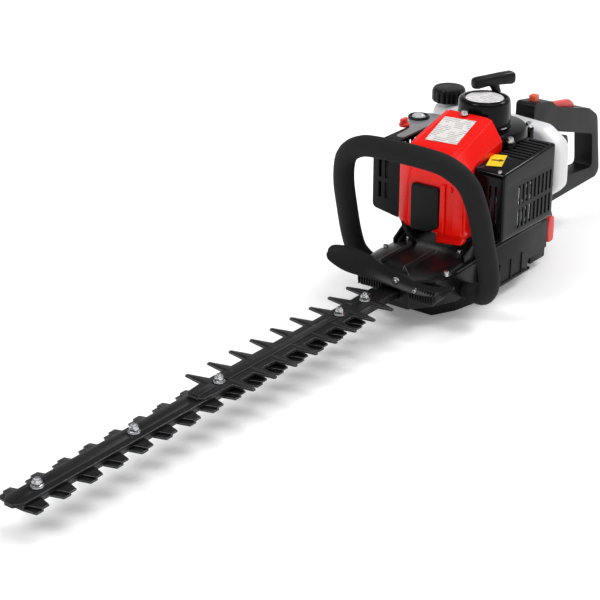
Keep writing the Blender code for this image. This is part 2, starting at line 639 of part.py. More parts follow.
def make_tank():
    corners = [(-112, 104), (-40, 94), (60, 94), (71, 108), (71, 158), (46, 178), (-30, 182), (-112, 182)]
    outline = rounded(corners, 12, 4)
    tank = finish("fuel_tank", prism(outline, TANK_REAR_X, TANK_FRONT_X, "X"), WHITE, 0.35)
    bevelled(tank, 5.0, 2, 50)
    neck_x, neck_y = FUEL_CAP_XY
    join(tank, disc(13, 178, 190, centre=FUEL_CAP_XY, steps=20))
    cap = [(0, 202), (18, 202), (20.5, 199), (21, 184), (13.8, 184), (13.8, 193), (0, 193)]
    finish("fuel_cap", turned(cap, (neck_x, neck_y, 0)), BLACK, 0.5, pivot=(neck_x, neck_y, 184))


def make_base():
    half = [(140, 0), (140, 26), (112, 40), (84, 46), (-30, 46), (-50, 38), (-60, 36), (-60, 0)]
    base = finish("base_frame", prism(mirrored(half), 0, 20), BLACK, 0.5)
    for side in (-1, 1):
        low, high = sorted((side * 61.0, side * 55.4))
        rail = [(-44, 28), (-18, 28), (-14, 14), (84, 14), (84, 44), (76, 72), (-44, 72)]
        join(base, prism(rail, low, high, "Y"))
        low, high = sorted((side * 61.0, side * 30.0))
        join(base, box((-12, low, 14), (84, high, 18)))
        join(base, box((-60, low, 30), (-40, high, 66)))
        low, high = sorted((side * 50.0, side * 30.0))
        join(base, box((-76, low, 10), (-42, high, 68)))
    collar = [(0, COLLAR_REAR_X), (COLLAR_RADIUS, COLLAR_REAR_X), (COLLAR_RADIUS, COLLAR_FRONT_X),
              (0, COLLAR_FRONT_X)]
    join(base, turned(collar, (0, 0, SWIVEL_Z), "X", 24))
    join(base, box((-90, -34, 60), (-60, 34, 93.7)))
    join(base, box((-99, 26, 26), (-78, 43.5, 54)))
    cut(base, disc(12.4, COLLAR_REAR_X - 5, COLLAR_REAR_X + 14, centre=(0, SWIVEL_Z), axis="X"))
    latch = [(-97, 24), (-85, 24), (-82, 40), (-84, 56), (-97, 57), (-98, 40)]
    finish("swivel_lock", prism(rounded(latch, 3, 2), 44.0, 50.0, "Y"), RED, 0.35, pivot=(-90, 47, 40))


def make_front_handle():
    """The padded loop: upright legs, wide corners, feet turned in under the engine."""
    half = [(118, 73, 33), (119, 83, 35), (126, 93, 50), (133, 96, 72), (144, 95, 108), (155, 92, 148),
            (163, 82, 180), (168, 60, 197), (170, 30, 202)]
    whole = half + [(x, -y, z) for x, y, z in reversed(half)]
    path = [(118, 67, 33), *smooth_path(whole, 2), (118, -67, 33)]
    tube("front_handle", path, TUBE_RADIUS, BLACK, 0.8)
    for side, name in ((1, "handle_mount_left"), (-1, "handle_mount_right")):
        low, high = sorted((side * 55.4, side * 66.4))
        mount = disc(10.0, low, high, centre=(118, 33), axis="Y", steps=16)
        finish(name, mount, RUBBER, 0.9)


def handle_outline(inset):
    """Outer loop of the rear handle in side view; inset gives its opening instead."""
    if inset:
        opening = [(-126, 152), (-252, 115), (-258, 67), (-195, 74), (-150, 71), (-126, 79)]
        return rounded(opening, 8, 3)
    return rounded([(-97, 194), (-140, 187), (-156, 174.5), (-240, 152.5, 16), (-264, 137, 14), (-278, 58),
                    (-269, 51), (-150, 50), (-128, 20), (-101, 20), (-101, 150), (-97, 158)], 7, 3)


def make_rear_handle():
    pivot = (COLLAR_REAR_X, 0, SWIVEL_Z)
    bm = prism(handle_outline(False), -HANDLE_HALF_WIDTH, HANDLE_HALF_WIDTH, "Y", [handle_outline(True)])
    handle = finish("rear_handle", bm, BLACK, 0.55, pivot=pivot)
    bevelled(handle, 5.0, 1, 50)
    drum = [(0, COLLAR_REAR_X + 12), (12, COLLAR_REAR_X + 12), (12, COLLAR_REAR_X - GAP),
            (DRUM_RADIUS, COLLAR_REAR_X - GAP), (DRUM_RADIUS, -116), (28, -128), (0, -128)]
    join(handle, turned(drum, (0, 0, SWIVEL_Z), "X", 24))
    cut(handle, prism([(-147, 100), (-147, 156), (-217, 136.5), (-217, 90)], -5, 5, "Y"))
    cut(handle, prism([(-150, 200), (-150, 161.5), (-223, 141.7), (-223, 200)], -4.5, 4.5, "Y"))
    cut(handle, box((-124, -5, 184), (-103, 5, 205)))

    trigger = [(-151, 150), (-160, 150), (-163, 140), (-185, 128), (-202, 124), (-206, 112),
               (-200, 107), (-186, 112), (-170, 124), (-153, 138)]
    finish("throttle_trigger", prism(rounded(trigger, 2.5, 2), -4.6, 4.6, "Y"), BLACK, 0.4,
           pivot=(-156, 0, 146))
    lock = [(-154, 168), (-156, 176), (-166, 177), (-204, 171), (-212, 166), (-218, 159), (-214, 155),
            (-190, 158), (-160, 164)]
    finish("trigger_lock", prism(rounded(lock, 2.5, 2), -4.1, 4.1, "Y"), RED, 0.35, pivot=(-158, 0, 168))
    finish("stop_switch", box((-122.5, -4.6, 184.5), (-112, 4.6, 198.5)), ORANGE, 0.4,
           pivot=(-117, 0, 190))


clear_scene()
make_blade("upper_blade", UPPER_BLADE_Z, UPPER_TOOTH_X, BLADE_FORWARD, BLADE_BACK)
make_blade("lower_blade", LOWER_BLADE_Z, LOWER_TOOTH_X, BLADE_BACK, BLADE_FORWARD)
make_bar()
make_tooth_guard()
make_blade_bolts()
make_drive()
make_gear_case()
make_hand_guard()
make_clutch()
make_crankcase()
make_crank()
make_cylinder()
make_engine_cover()
make_starter()
make_muffler()
make_intake()
make_tank()
make_base()
make_front_handle()
make_rear_handle()
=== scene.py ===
# %% [markdown]
# # A petrol hedge trimmer
# The frame is a finished mechanical model: a bar with two toothed blades, a geared drive, a small engine
# and two handles. This script dresses it. Shapes that are already right keep their mesh and get a better
# finish; moulded covers, grips and screws are modelled again with finer edges and stand in for their nodes.

# %% Load the frame
import json
import math

import bmesh
import bpy
from mathutils import Matrix, Vector


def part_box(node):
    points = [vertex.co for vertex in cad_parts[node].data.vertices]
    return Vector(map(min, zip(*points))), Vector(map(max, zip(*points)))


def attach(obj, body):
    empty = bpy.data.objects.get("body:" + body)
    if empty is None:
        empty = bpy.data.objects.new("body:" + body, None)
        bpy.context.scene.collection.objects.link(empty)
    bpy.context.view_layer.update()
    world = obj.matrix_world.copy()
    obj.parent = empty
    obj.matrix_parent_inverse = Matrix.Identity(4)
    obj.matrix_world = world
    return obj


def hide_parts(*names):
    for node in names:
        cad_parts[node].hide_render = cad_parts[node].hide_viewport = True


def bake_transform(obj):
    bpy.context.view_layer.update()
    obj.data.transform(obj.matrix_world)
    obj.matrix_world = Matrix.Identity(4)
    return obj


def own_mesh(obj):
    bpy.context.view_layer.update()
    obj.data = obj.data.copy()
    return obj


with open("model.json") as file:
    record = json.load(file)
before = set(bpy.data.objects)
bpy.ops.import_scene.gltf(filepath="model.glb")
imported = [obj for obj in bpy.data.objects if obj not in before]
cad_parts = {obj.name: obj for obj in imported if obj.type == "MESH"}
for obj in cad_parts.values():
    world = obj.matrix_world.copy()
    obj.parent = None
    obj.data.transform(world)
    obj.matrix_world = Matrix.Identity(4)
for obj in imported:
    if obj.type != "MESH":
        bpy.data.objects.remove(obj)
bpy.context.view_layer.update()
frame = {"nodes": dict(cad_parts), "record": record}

MM = 0.001
nodes = frame["nodes"]

# %% [markdown]
# ## Camera, floor and light
# A long lens from the front and a little above shows the blade running towards the viewer. The studio is
# a pale floor whose sky is white at the horizon and dim overhead, like a cyclorama: black plastic then
# stays black, and reads by the highlights that four broad, far lamps leave on its edges.

# %% Camera
def placed(name, data):
    thing = bpy.data.objects.new(name, data)
    bpy.context.collection.objects.link(thing)
    return thing


LENS_MM, SENSOR_MM = 105.0, 36.0
CAMERA_PLACE = (1.7058, 1.0263, 0.8463)
CAMERA_HEADING = Vector((-0.7263, -0.5534, -0.4076))
camera = placed("camera", bpy.data.cameras.new("camera"))
camera.data.lens = LENS_MM
camera.data.sensor_width = SENSOR_MM
camera.location = CAMERA_PLACE
camera.rotation_euler = CAMERA_HEADING.to_track_quat("-Z", "Y").to_euler()
bpy.context.scene.camera = camera
print("camera is", round(camera.location.length, 2), "m from the base")

# %% Lamps and sky
HORIZON, OVERHEAD = (1.0, 1.0, 1.0, 1.0), (0.34, 0.34, 0.35, 1.0)
OVERHEAD_FROM = 0.45
bpy.context.scene.view_settings.view_transform = "Standard"
sky = bpy.data.worlds.new("studio")
sky.use_nodes = True
links, make = sky.node_tree.links, sky.node_tree.nodes.new
direction = make("ShaderNodeTexCoord")
split = make("ShaderNodeSeparateXYZ")
fade = make("ShaderNodeValToRGB")
fade.color_ramp.elements[0].color = HORIZON
fade.color_ramp.elements[1].color = OVERHEAD
fade.color_ramp.elements[1].position = OVERHEAD_FROM
links.new(direction.outputs["Generated"], split.inputs[0])
links.new(split.outputs["Z"], fade.inputs[0])
links.new(fade.outputs["Color"], sky.node_tree.nodes["Background"].inputs["Color"])
bpy.context.scene.world = sky


def far_lamp(name, azimuth, elevation, width, strength):
    """A sun seen from azimuth and elevation; a wide one gives soft shadows."""
    lamp = placed(name, bpy.data.lights.new(name, "SUN"))
    lamp.data.angle = math.radians(width)
    lamp.data.energy = strength
    around, up = math.radians(azimuth), math.radians(elevation)
    towards = Vector((math.cos(around) * math.cos(up), math.sin(around) * math.cos(up), math.sin(up)))
    lamp.rotation_euler = towards.to_track_quat("Z", "Y").to_euler()


far_lamp("key_lamp", -25, 52, 20, 1.1)
far_lamp("fill_lamp", 95, 58, 50, 0.65)
far_lamp("rim_lamp", 165, 44, 16, 1.1)
far_lamp("top_lamp", 30, 82, 50, 0.7)
print("four broad lamps and a fading sky")

# %% [markdown]
# ## Building with values
# A material is a small machine of nodes. Writing `1 - mask` is easier to read than wiring a Math node, so
# one class wraps a node's output and lets Python's operators add the nodes.


# %% Values that grow nodes
class Wire:
    """A node's output in a material. Arithmetic on it adds Math nodes."""

    def __init__(self, tree, socket=None):
        self.tree = tree
        self.socket = socket

    def plug(self, target, value):
        if isinstance(value, Wire):
            self.tree.links.new(value.socket, target)
        else:
            target.default_value = value

    def node(self, kind, settings=None, sockets=None, output=0):
        made = self.tree.nodes.new("ShaderNode" + kind)
        for name, value in (settings or {}).items():
            setattr(made, name, value)
        for name, value in (sockets or {}).items():
            self.plug(made.inputs[name], value)
        return Wire(self.tree, made.outputs[output])

    def maths(self, operation, first, second, clamp=False):
        settings = {"operation": operation, "use_clamp": clamp}
        return self.node("Math", settings, {0: first, 1: second})

    def __add__(self, other):
        return self.maths("ADD", self, other)

    def __mul__(self, other):
        return self.maths("MULTIPLY", self, other)

    def __rsub__(self, other):
        return self.maths("SUBTRACT", other, self)

    def __gt__(self, other):
        return self.maths("GREATER_THAN", self, other)

    __radd__ = __add__
    __rmul__ = __mul__

    def clamped(self):
        return self.maths("ADD", self, 0.0, clamp=True)

    def between(self, first, second):
        """Mix two colours, with this value as the share of the second."""
        colours = {0: self, 6: first, 7: second}
        return self.node("Mix", {"data_type": "RGBA"}, colours, 2)


def rgb(red, green, blue):
    return (red, green, blue, 1.0)


def toned(colour, factor, lift=0.0):
    return tuple(min(1.0, factor * channel + lift) for channel in colour[:3]) + (1.0,)


def new_finish(name, colour, **constants):
    """A Principled material; constants go straight onto the shader's own sockets."""
    made = bpy.data.materials.new(name)
    made.use_nodes = True
    shader = made.node_tree.nodes["Principled BSDF"]
    shader.inputs["Base Color"].default_value = colour
    for socket, value in constants.items():
        shader.inputs[socket.replace("_", " ")].default_value = value
    return made, Wire(made.node_tree), shader


def feed(shader, **inputs):
    """Link the values that vary to the shader's sockets."""
    for socket, value in inputs.items():
        value.plug(shader.inputs[socket.replace("_", " ")], value)


def noise(wire, size_mm, detail=2.0, stretch=(1.0, 1.0, 1.0)):
    """Noise whose blotches are about size_mm across, squeezed along the axes by stretch."""
    place = wire.node("TexCoord", output="Object")
    place = wire.node("Mapping", {}, {"Vector": place, "Scale": stretch})
    return wire.node("TexNoise", {}, {"Vector": place, "Scale": 1.0 / (size_mm * MM), "Detail": detail})


def raised(wire, height, depth_mm):
    return wire.node("Bump", {}, {"Height": height, "Distance": depth_mm * MM, "Strength": 1.0})


print("the helpers for materials are ready")

# %% [markdown]
# ## Finishes
# Moulded nylon has a fine spark-eroded grain, a polished moulding mirrors the room with a slight waviness,
# and a foam sleeve is full of tiny closed pores. Each finish below is one function of the same few
# ingredients: a fine noise for the grain, and a broad one that varies the tone and the gloss.


# %% Plastics
def moulded(name, colour, roughness, grain_mm=0.7, depth_mm=0.035, **constants):
    made, wire, shader = new_finish(name, colour, **constants)
    broad = noise(wire, 30.0)
    grain = noise(wire, grain_mm, 3.0)
    tone = 0.6 * broad + 0.4 * grain
    feed(shader, Base_Color=tone.between(toned(colour, 0.78), toned(colour, 1.15, 0.003)),
         Roughness=roughness - 0.08 + 0.16 * broad, Normal=raised(wire, grain, depth_mm))
    return made


def polished(name, colour, roughness, coat=0.6, gleam=0.5):
    made, wire, shader = new_finish(name, colour, Coat_Roughness=0.06, Specular_IOR_Level=gleam)
    broad = noise(wire, 22.0)
    dust = noise(wire, 1.6, 4.0)
    specks = (dust > 0.66) * 0.10
    feed(shader, Base_Color=broad.between(toned(colour, 0.86), colour),
         Roughness=roughness + 0.07 * broad + specks, Coat_Weight=coat - 0.5 * coat * broad,
         Normal=raised(wire, noise(wire, 7.0, 1.0), 0.05))
    return made


NYLON = moulded("grained_nylon", rgb(0.005, 0.005, 0.0055), 0.42, Specular_IOR_Level=0.14)
PANEL = moulded("grained_panel", rgb(0.011, 0.011, 0.012), 0.48, 0.9, 0.05, Specular_IOR_Level=0.14)
SATIN = moulded("satin_nylon", rgb(0.004, 0.004, 0.0045), 0.33, 0.5, 0.015, Specular_IOR_Level=0.16)
GLOSS_BLACK = polished("polished_black", rgb(0.0015, 0.0015, 0.002), 0.12, 0.06, 0.12)
GLOSS_RED = polished("polished_red", rgb(0.86, 0.005, 0.001), 0.2, 0.12, 0.2)
RED_KNOB = moulded("red_knob", rgb(0.72, 0.02, 0.012), 0.34, 0.6, 0.01)
ORANGE_KNOB = moulded("orange_knob", rgb(0.70, 0.085, 0.03), 0.42, 0.6, 0.01)
GREY_TOP = polished("grey_moulding", rgb(0.20, 0.205, 0.21), 0.26, 0.3)
RUBBER = moulded("rubber", rgb(0.010, 0.010, 0.0105), 0.75, 1.2, 0.05, Specular_IOR_Level=0.15)
PORCELAIN = polished("porcelain", rgb(0.75, 0.75, 0.72), 0.15)
print("ten plastics and rubbers")


# %% Foam sleeve and filter
def pored(name, colour, pore_mm, depth_mm):
    made, wire, shader = new_finish(name, colour, Specular_IOR_Level=0.14)
    place = wire.node("TexCoord", output="Object")
    cells = wire.node("TexVoronoi", {}, {"Vector": place, "Scale": 1.0 / (pore_mm * MM)}, "Distance")
    broad = noise(wire, 18.0)
    share = (cells * 0.9 * broad).clamped()
    feed(shader, Base_Color=share.between(colour, toned(colour, 1.9)), Roughness=0.62 + 0.2 * broad,
         Normal=raised(wire, cells, depth_mm))
    return made


FOAM = pored("foam_sleeve", rgb(0.009, 0.009, 0.0093), 0.9, 0.12)
FILTER_FOAM = pored("filter_foam", rgb(0.07, 0.07, 0.07), 2.5, 0.8)
print("two foams")


# %% Metals
def metal(name, colour, roughness, stretch, depth_mm=0.01, stain=0.75, grain_mm=1.0):
    """Bright metal; a stretched noise leaves the marks of the tool along one axis."""
    made, wire, shader = new_finish(name, colour, Metallic=1.0)
    marks = noise(wire, grain_mm, 3.0, stretch)
    broad = noise(wire, 14.0)
    feed(shader, Base_Color=broad.between(toned(colour, stain), colour),
         Roughness=roughness - 0.06 + 0.10 * marks + 0.08 * broad, Normal=raised(wire, marks, depth_mm))
    return made


def black_steel_wear_and_highlight(name, roughness, wear_and_highlight):
    """Black oxide or paint over metal, lighter along its edges: worn bright on the blades and the comb, a
    painted highlight on the gear case's ridges.
    """
    made, wire, shader = new_finish(name, rgb(0.02, 0.02, 0.02), Specular_IOR_Level=0.35)
    marks = noise(wire, 2.0, 3.0, (0.12, 1.0, 1.0))
    broad = noise(wire, 16.0)
    rounded_normal = wire.node("Bevel", {"samples": 4}, {"Radius": 0.7 * MM})
    flat_normal = wire.node("NewGeometry", output="Normal")
    both = {0: rounded_normal, 1: flat_normal}
    facing = wire.node("VectorMath", {"operation": "DOT_PRODUCT"}, both, "Value")
    # The edge mask paints the edges lighter: real wear on the blades and comb, a painted highlight on the
    # case ridges.
    edge = ((1 - facing) * 9.0 * wear_and_highlight * (0.4 + broad)).clamped()
    black = broad.between(rgb(0.006, 0.006, 0.0065), rgb(0.02, 0.02, 0.021))
    feed(shader, Base_Color=edge.between(black, rgb(0.30, 0.30, 0.31)), Metallic=0.55 + 0.4 * edge,
         Roughness=roughness - 0.05 + 0.14 * marks, Normal=raised(wire, marks, 0.02))
    return made


BLADE_STEEL = black_steel_wear_and_highlight("blade_steel", 0.36, 1.0)
COMB_STEEL = black_steel_wear_and_highlight("comb_steel", 0.42, 0.8)
ZINC = metal("zinc_plate", rgb(0.62, 0.63, 0.65), 0.2, (1.0, 1.0, 1.0))
# The ridges' paint: its bright edges are a painted highlight along their crests.
RIDGE_HIGHLIGHT_PAINT = black_steel_wear_and_highlight("ridge_highlight_paint", 0.3, 1.6)
STEEL = metal("machined_steel", rgb(0.52, 0.52, 0.54), 0.3, (0.1, 1.0, 1.0))
CAST = metal("cast_alloy", rgb(0.60, 0.61, 0.63), 0.5, (1.0, 1.0, 1.0), 0.12, 0.8, 1.6)
CASE_PAINT = moulded("case_paint", rgb(0.004, 0.004, 0.0045), 0.34, 1.5, 0.02, Specular_IOR_Level=0.2)
print("five metals and the case's two paints")


# %% Tank, bulb, rope and labels
def milky():
    made, wire, shader = new_finish("milky_tank", rgb(0.7, 0.7, 0.72), Subsurface_Weight=0.2,
                                    Subsurface_Scale=0.01)
    broad = noise(wire, 35.0)
    feed(shader, Base_Color=broad.between(rgb(0.60, 0.605, 0.62), rgb(0.71, 0.715, 0.73)),
         Roughness=0.28 + 0.12 * broad, Normal=raised(wire, noise(wire, 3.0), 0.03))
    return made


def braided():
    made, wire, shader = new_finish("braided_rope", rgb(0.7, 0.7, 0.66))
    place = wire.node("TexCoord", output="Object")
    bands = wire.node("TexWave", {"bands_direction": "DIAGONAL"}, {"Vector": place, "Scale": 260.0})
    feed(shader, Base_Color=bands.between(rgb(0.5, 0.5, 0.47), rgb(0.78, 0.78, 0.75)),
         Roughness=0.75 + 0.1 * bands, Normal=raised(wire, bands, 0.3))
    return made


def printed(name, paper, ink, pitch_mm, share):
    """Glossy paper with plain grey bars where a real label has its small print."""
    made, wire, shader = new_finish(name, paper, Coat_Roughness=0.1)
    place = wire.node("TexCoord", output="Object")
    along = wire.node("SeparateXYZ", {}, {0: place}, "X")
    row = wire.node("Math", {"operation": "FRACT"}, {0: along * (1.0 / (pitch_mm * MM))})
    gaps = wire.node("TexNoise", {}, {"Vector": place, "Scale": 130.0, "Detail": 0.0})
    bars = (row > 1.0 - share) * (gaps > 0.44)
    feed(shader, Base_Color=bars.between(paper, ink), Roughness=0.3 + 0.1 * bars,
         Coat_Weight=0.2 - 0.1 * bars)
    return made


MILKY = milky()
ROPE = braided()
BULB = moulded("clear_bulb", rgb(0.80, 0.81, 0.82), 0.16, 3.0, 0.02, Transmission_Weight=0.45)
LABEL = printed("engine_label", rgb(0.72, 0.70, 0.68), rgb(0.40, 0.37, 0.36), 3.4, 0.38)
CAP_LABEL = printed("cap_label", rgb(0.76, 0.75, 0.75), rgb(0.46, 0.42, 0.42), 6.0, 0.3)
YELLOW = moulded("yellow_label", rgb(0.86, 0.62, 0.01), 0.3, 2.0, 0.005)
INK = moulded("label_ink", rgb(0.05, 0.04, 0.01), 0.35, 2.0, 0.005)
print("the last finishes are ready")

# %% [markdown]
# ## Shapes
# All drawing is done in millimetres. `shown` scales a finished bmesh to metres and makes it a piece that
# rides on a body; the piece's object stays at the origin, as the frame's own nodes do. The other helpers
# extrude an outline, turn a profile, bridge cross-sections, round the sharp edges, or copy a frame node.


# %% Making a piece
SHARP = math.radians(35.0)


def shown(name, bm, finishes, replaces=(), body="root"):
    bm.transform(Matrix.Scale(MM, 4))
    mesh = bpy.data.meshes.new(name)
    bm.to_mesh(mesh)
    bm.free()
    for finish in (finishes if isinstance(finishes, tuple) else (finishes,)):
        mesh.materials.append(finish)
    mesh.shade_smooth()
    mesh.set_sharp_from_angle(angle=SHARP)
    piece = placed(name, mesh)
    if body:
        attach(piece, body)
    if replaces:
        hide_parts(*replaces)
    print(f"{name}: {len(mesh.polygons)} faces")
    return piece


def on_axis(axis, u, v, w):
    return {"X": (w, u, v), "Y": (u, w, v), "Z": (u, v, w)}[axis]


def lifted(bm, faces, shift):
    """Extrude faces by shift; the faces themselves stay and close the other end."""
    made = bmesh.ops.extrude_face_region(bm, geom=faces, use_keep_orig=True)
    verts = [part for part in made["geom"] if isinstance(part, bmesh.types.BMVert)]
    bmesh.ops.translate(bm, verts=verts, vec=shift)
    bmesh.ops.recalc_face_normals(bm, faces=bm.faces)
    return bm


def prism(outline, low, high, axis="Z"):
    bm = bmesh.new()
    face = bm.faces.new([bm.verts.new(on_axis(axis, u, v, low)) for u, v in outline])
    return lifted(bm, [face], on_axis(axis, 0, 0, high - low))


def block(low, high, width=0.0, segments=3):
    bm = bmesh.new()
    bmesh.ops.create_cube(bm, size=1.0)
    low, high = Vector(low), Vector(high)
    bmesh.ops.scale(bm, vec=high - low, verts=bm.verts)
    bmesh.ops.translate(bm, vec=(low + high) / 2, verts=bm.verts)
    return soften(bm, width, segments) if width else bm


def soften(bm, width, segments=3, angle=30.0, keep=None):
    """Round every edge sharper than angle; keep(edge) can leave some alone."""
    limit = math.radians(angle)
    edges = [edge for edge in bm.edges if edge.is_manifold and edge.calc_face_angle() > limit]
    if keep:
        edges = [edge for edge in edges if not keep(edge)]
    bmesh.ops.bevel(bm, geom=edges, offset=width, offset_type="OFFSET", affect="EDGES",
                    segments=segments, profile=0.5, material=-1, clamp_overlap=True)
    return bm


def turned(profile, centre=(0, 0, 0), axis="Z", steps=64, closed=False):
    bm = bmesh.new()
    verts = [bm.verts.new((radius, 0, height)) for radius, height in profile]
    pairs = list(zip(verts, verts[1:])) + ([(verts[-1], verts[0])] if closed else [])
    edges = [bm.edges.new(pair) for pair in pairs]
    bmesh.ops.spin(bm, geom=verts + edges, cent=(0, 0, 0), axis=(0, 0, 1), dvec=(0, 0, 0),
                   angle=math.tau, steps=steps, use_merge=True, use_duplicate=False)
    bmesh.ops.remove_doubles(bm, verts=bm.verts, dist=0.001)
    if axis != "Z":
        turn = (math.pi / 2, 4, "Y") if axis == "X" else (-math.pi / 2, 4, "X")
        bm.transform(Matrix.Rotation(*turn))
    bm.transform(Matrix.Translation(centre))
    bmesh.ops.recalc_face_normals(bm, faces=bm.faces)
    return bm


def loft(sections):
    """Bridge closed cross-sections with the same number of points, and cap both ends."""
    bm = bmesh.new()
    rings = []
    for section in sections:
        verts = bmesh.ops.create_circle(bm, segments=len(section), radius=1.0)["verts"]
        for vert, point in zip(verts, section):
            vert.co = point
        ring = []
        for vert in verts:
            ring += [edge for edge in vert.link_edges if edge not in ring]
        rings.append(ring)
    for first, second in zip(rings, rings[1:]):
        bmesh.ops.bridge_loops(bm, edges=first + second)
    for ring in (rings[0], rings[-1]):
        bmesh.ops.edgeloop_fill(bm, edges=ring)
    bmesh.ops.recalc_face_normals(bm, faces=bm.faces)
    return bm


def rounded(corners, radius, count=5):
    """Replace each corner (u, v) or (u, v, radius) of a loop by an arc."""
    points = []
    for i, corner in enumerate(corners):
        here = Vector(corner[:2])
        size = corner[2] if len(corner) > 2 else radius
        before = Vector(corners[i - 1][:2]) - here
        after = Vector(corners[(i + 1) % len(corners)][:2]) - here
        reach = min(size / math.tan(before.angle(after) / 2), before.length * 0.49, after.length * 0.49)
        first = here + before.normalized() * reach
        last = here + after.normalized() * reach
        for step in range(count + 1):
            t = step / count
            points.append(tuple(first * (1 - t) ** 2 + here * 2 * t * (1 - t) + last * t ** 2))
    return points


def joined(first, *others):
    """Put several closed bodies into one bmesh."""
    for other in others:
        mesh = bpy.data.meshes.new("part")
        other.to_mesh(mesh)
        other.free()
        first.from_mesh(mesh)
        bpy.data.meshes.remove(mesh)
    return first


def numbered(bm):
    bm.verts.index_update()
    bm.edges.index_update()
    return bm


def opened(bm, is_open):
    bm.normal_update()
    bmesh.ops.delete(bm, geom=[face for face in bm.faces if is_open(face)], context="FACES")
    return numbered(bm)


def walled(bm, thickness):
    """Give an open shell its wall, inwards."""
    bm.normal_update()
    bmesh.ops.solidify(bm, geom=bm.faces, thickness=thickness)
    return bm


def from_node(name):
    """A copy of a frame node in millimetres, welded, with flat areas as single faces."""
    bm = bmesh.new()
    bm.from_mesh(nodes[name].data)
    bm.transform(Matrix.Scale(1 / MM, 4))
    bmesh.ops.remove_doubles(bm, verts=bm.verts, dist=0.005)
    bmesh.ops.dissolve_limit(bm, angle_limit=math.radians(0.5), verts=bm.verts, edges=bm.edges)
    return bm


def egg(count, half_u, half_v, power=2.0):
    """A superellipse; a higher power squares it up."""
    points = []
    for i in range(count):
        turn = math.tau * i / count
        c, s = math.cos(turn), math.sin(turn)
        points.append((half_u * math.copysign(abs(c) ** (2 / power), c),
                       half_v * math.copysign(abs(s) ** (2 / power), s)))
    return points


def smooth_path(points, steps):
    """Points on a Catmull-Rom curve through the given points."""
    result = []
    padded = [points[0], *points, points[-1]]
    for i in range(1, len(padded) - 2):
        p0, p1, p2, p3 = (Vector(p) for p in padded[i - 1:i + 3])
        for step in range(steps):
            t = step / steps
            result.append(0.5 * ((2 * p1) + (p2 - p0) * t + (2 * p0 - 5 * p1 + 4 * p2 - p3) * t ** 2
                                 + (3 * p1 - p0 - 3 * p2 + p3) * t ** 3))
    result.append(Vector(points[-1]))
    return result


print("the helpers for shapes are ready")

# %% [markdown]
# ## Cutting gear
# The cutters, the bar and the blunt comb above them are stamped plate. Their outlines come from the frame,
# and each copy gets a fine rounded edge that catches the light.

# %% Blades and bar
for cutter, body in (("upper_blade", "upper_cutter"), ("lower_blade", "lower_cutter")):
    blade = soften(from_node(cutter), 0.35, 2)
    shown(cutter + "_ground", blade, BLADE_STEEL, [cutter], body)
shown("bar_plate", soften(from_node("guide_bar"), 0.5, 2), BLADE_STEEL, ["guide_bar"])

# %% [markdown]
# The comb is pressed: a raised spine runs along it, and each finger has a narrow rib, made as a tapered
# loft that sinks slightly into the plate.

# %% Comb with its pressed ribs
TOOTH_PITCH = 35.0
COMB_TOP = (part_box("tooth_guard")[1] / MM).z
NEAR_FINGERS, FAR_FINGERS = (1, 239.5, 8), (-1, 221.0, 9)


def finger_rib(x, side):
    sections = []
    for y, half, rise in ((5.0, 2.6, 0.7), (14.0, 2.4, 1.0), (24.0, 1.9, 1.0), (36.5, 0.9, 0.5)):
        shape = ((half, -0.6), (half * 0.55, rise), (-half * 0.55, rise), (-half, -0.6))
        sections.append([(x + dx, side * y, COMB_TOP + dz) for dx, dz in shape])
    return loft(sections)


comb = soften(from_node("tooth_guard"), 0.55, 2)
shown("comb_plate", comb, COMB_STEEL, ["tooth_guard"])
spine = [(5.4, -0.6), (4.2, 1.2), (-4.2, 1.2), (-5.4, -0.6)]
spines = [loft([[(x, y, COMB_TOP + z) for y, z in spine] for x in span])
          for span in ((297, 484), (503, 531))]
fingers = [finger_rib(first + TOOTH_PITCH * i, side)
           for side, first, count in (NEAR_FINGERS, FAR_FINGERS) for i in range(count)]
ribs = joined(*spines, *fingers)
shown("comb_ribs", soften(ribs, 0.35, 2, 25), COMB_STEEL)

# %% [markdown]
# Each blade bolt is zinc plated: a washer, a lock nut with chamfered corners and the tip of the thread
# above it, turned as a stack of small ridges.


# %% Blade bolts
def hex_nut(x, low, high, radius, start=0.0):
    turns = [start + math.tau * i / 6 for i in range(6)]
    outline = [(x + radius * math.cos(turn), radius * math.sin(turn)) for turn in turns]
    return soften(prism(outline, low, high), 0.5, 2)


SHANK_ABOVE_SEAT, THREAD_PITCH = 9.0, 0.8
for i in range(5):
    node = f"blade_bolt_{i + 1}"
    low, high = (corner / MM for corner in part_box(node))
    x = (low.x + high.x) / 2
    seat = high.z - SHANK_ABOVE_SEAT
    washer = turned([(2.9, seat), (6.3, seat), (6.5, seat + 0.5), (6.3, seat + 1.2), (2.9, seat + 1.2)],
                    (x, 0, 0), steps=40, closed=True)
    nut = hex_nut(x, seat + 1.2, seat + 5.6, 5.2, 0.3 * i)
    collar = turned([(0, seat + 5.6), (4.1, seat + 5.6), (3.9, seat + 7.0), (3.1, seat + 7.4),
                     (0, seat + 7.4)], (x, 0, 0), steps=32)
    thread = [(0, low.z + 3)]
    for turn in range(int((high.z - low.z - 4) / THREAD_PITCH)):
        climb = THREAD_PITCH * turn
        thread += [(2.95, low.z + 3 + climb), (2.6, low.z + 3.4 + climb)]
    thread += [(2.4, high.z), (0, high.z)]
    shank = turned(thread, (x, 0, 0), steps=24)
    head = hex_nut(x, low.z, low.z + 4.2, 5.6)
    shown(f"bolt_{i + 1}", joined(washer, nut, collar, shank, head), ZINC, [node])

# %% [markdown]
# ## Gear case and shield
# The case is a painted casting in two halves. Its cover is a low dome with two straight ridges that lead back
# to the engine; their crests carry a painted highlight. Cross-sections along the blade's direction, bridged
# together, give the dome, and two short webs a side brace the step up to the engine.


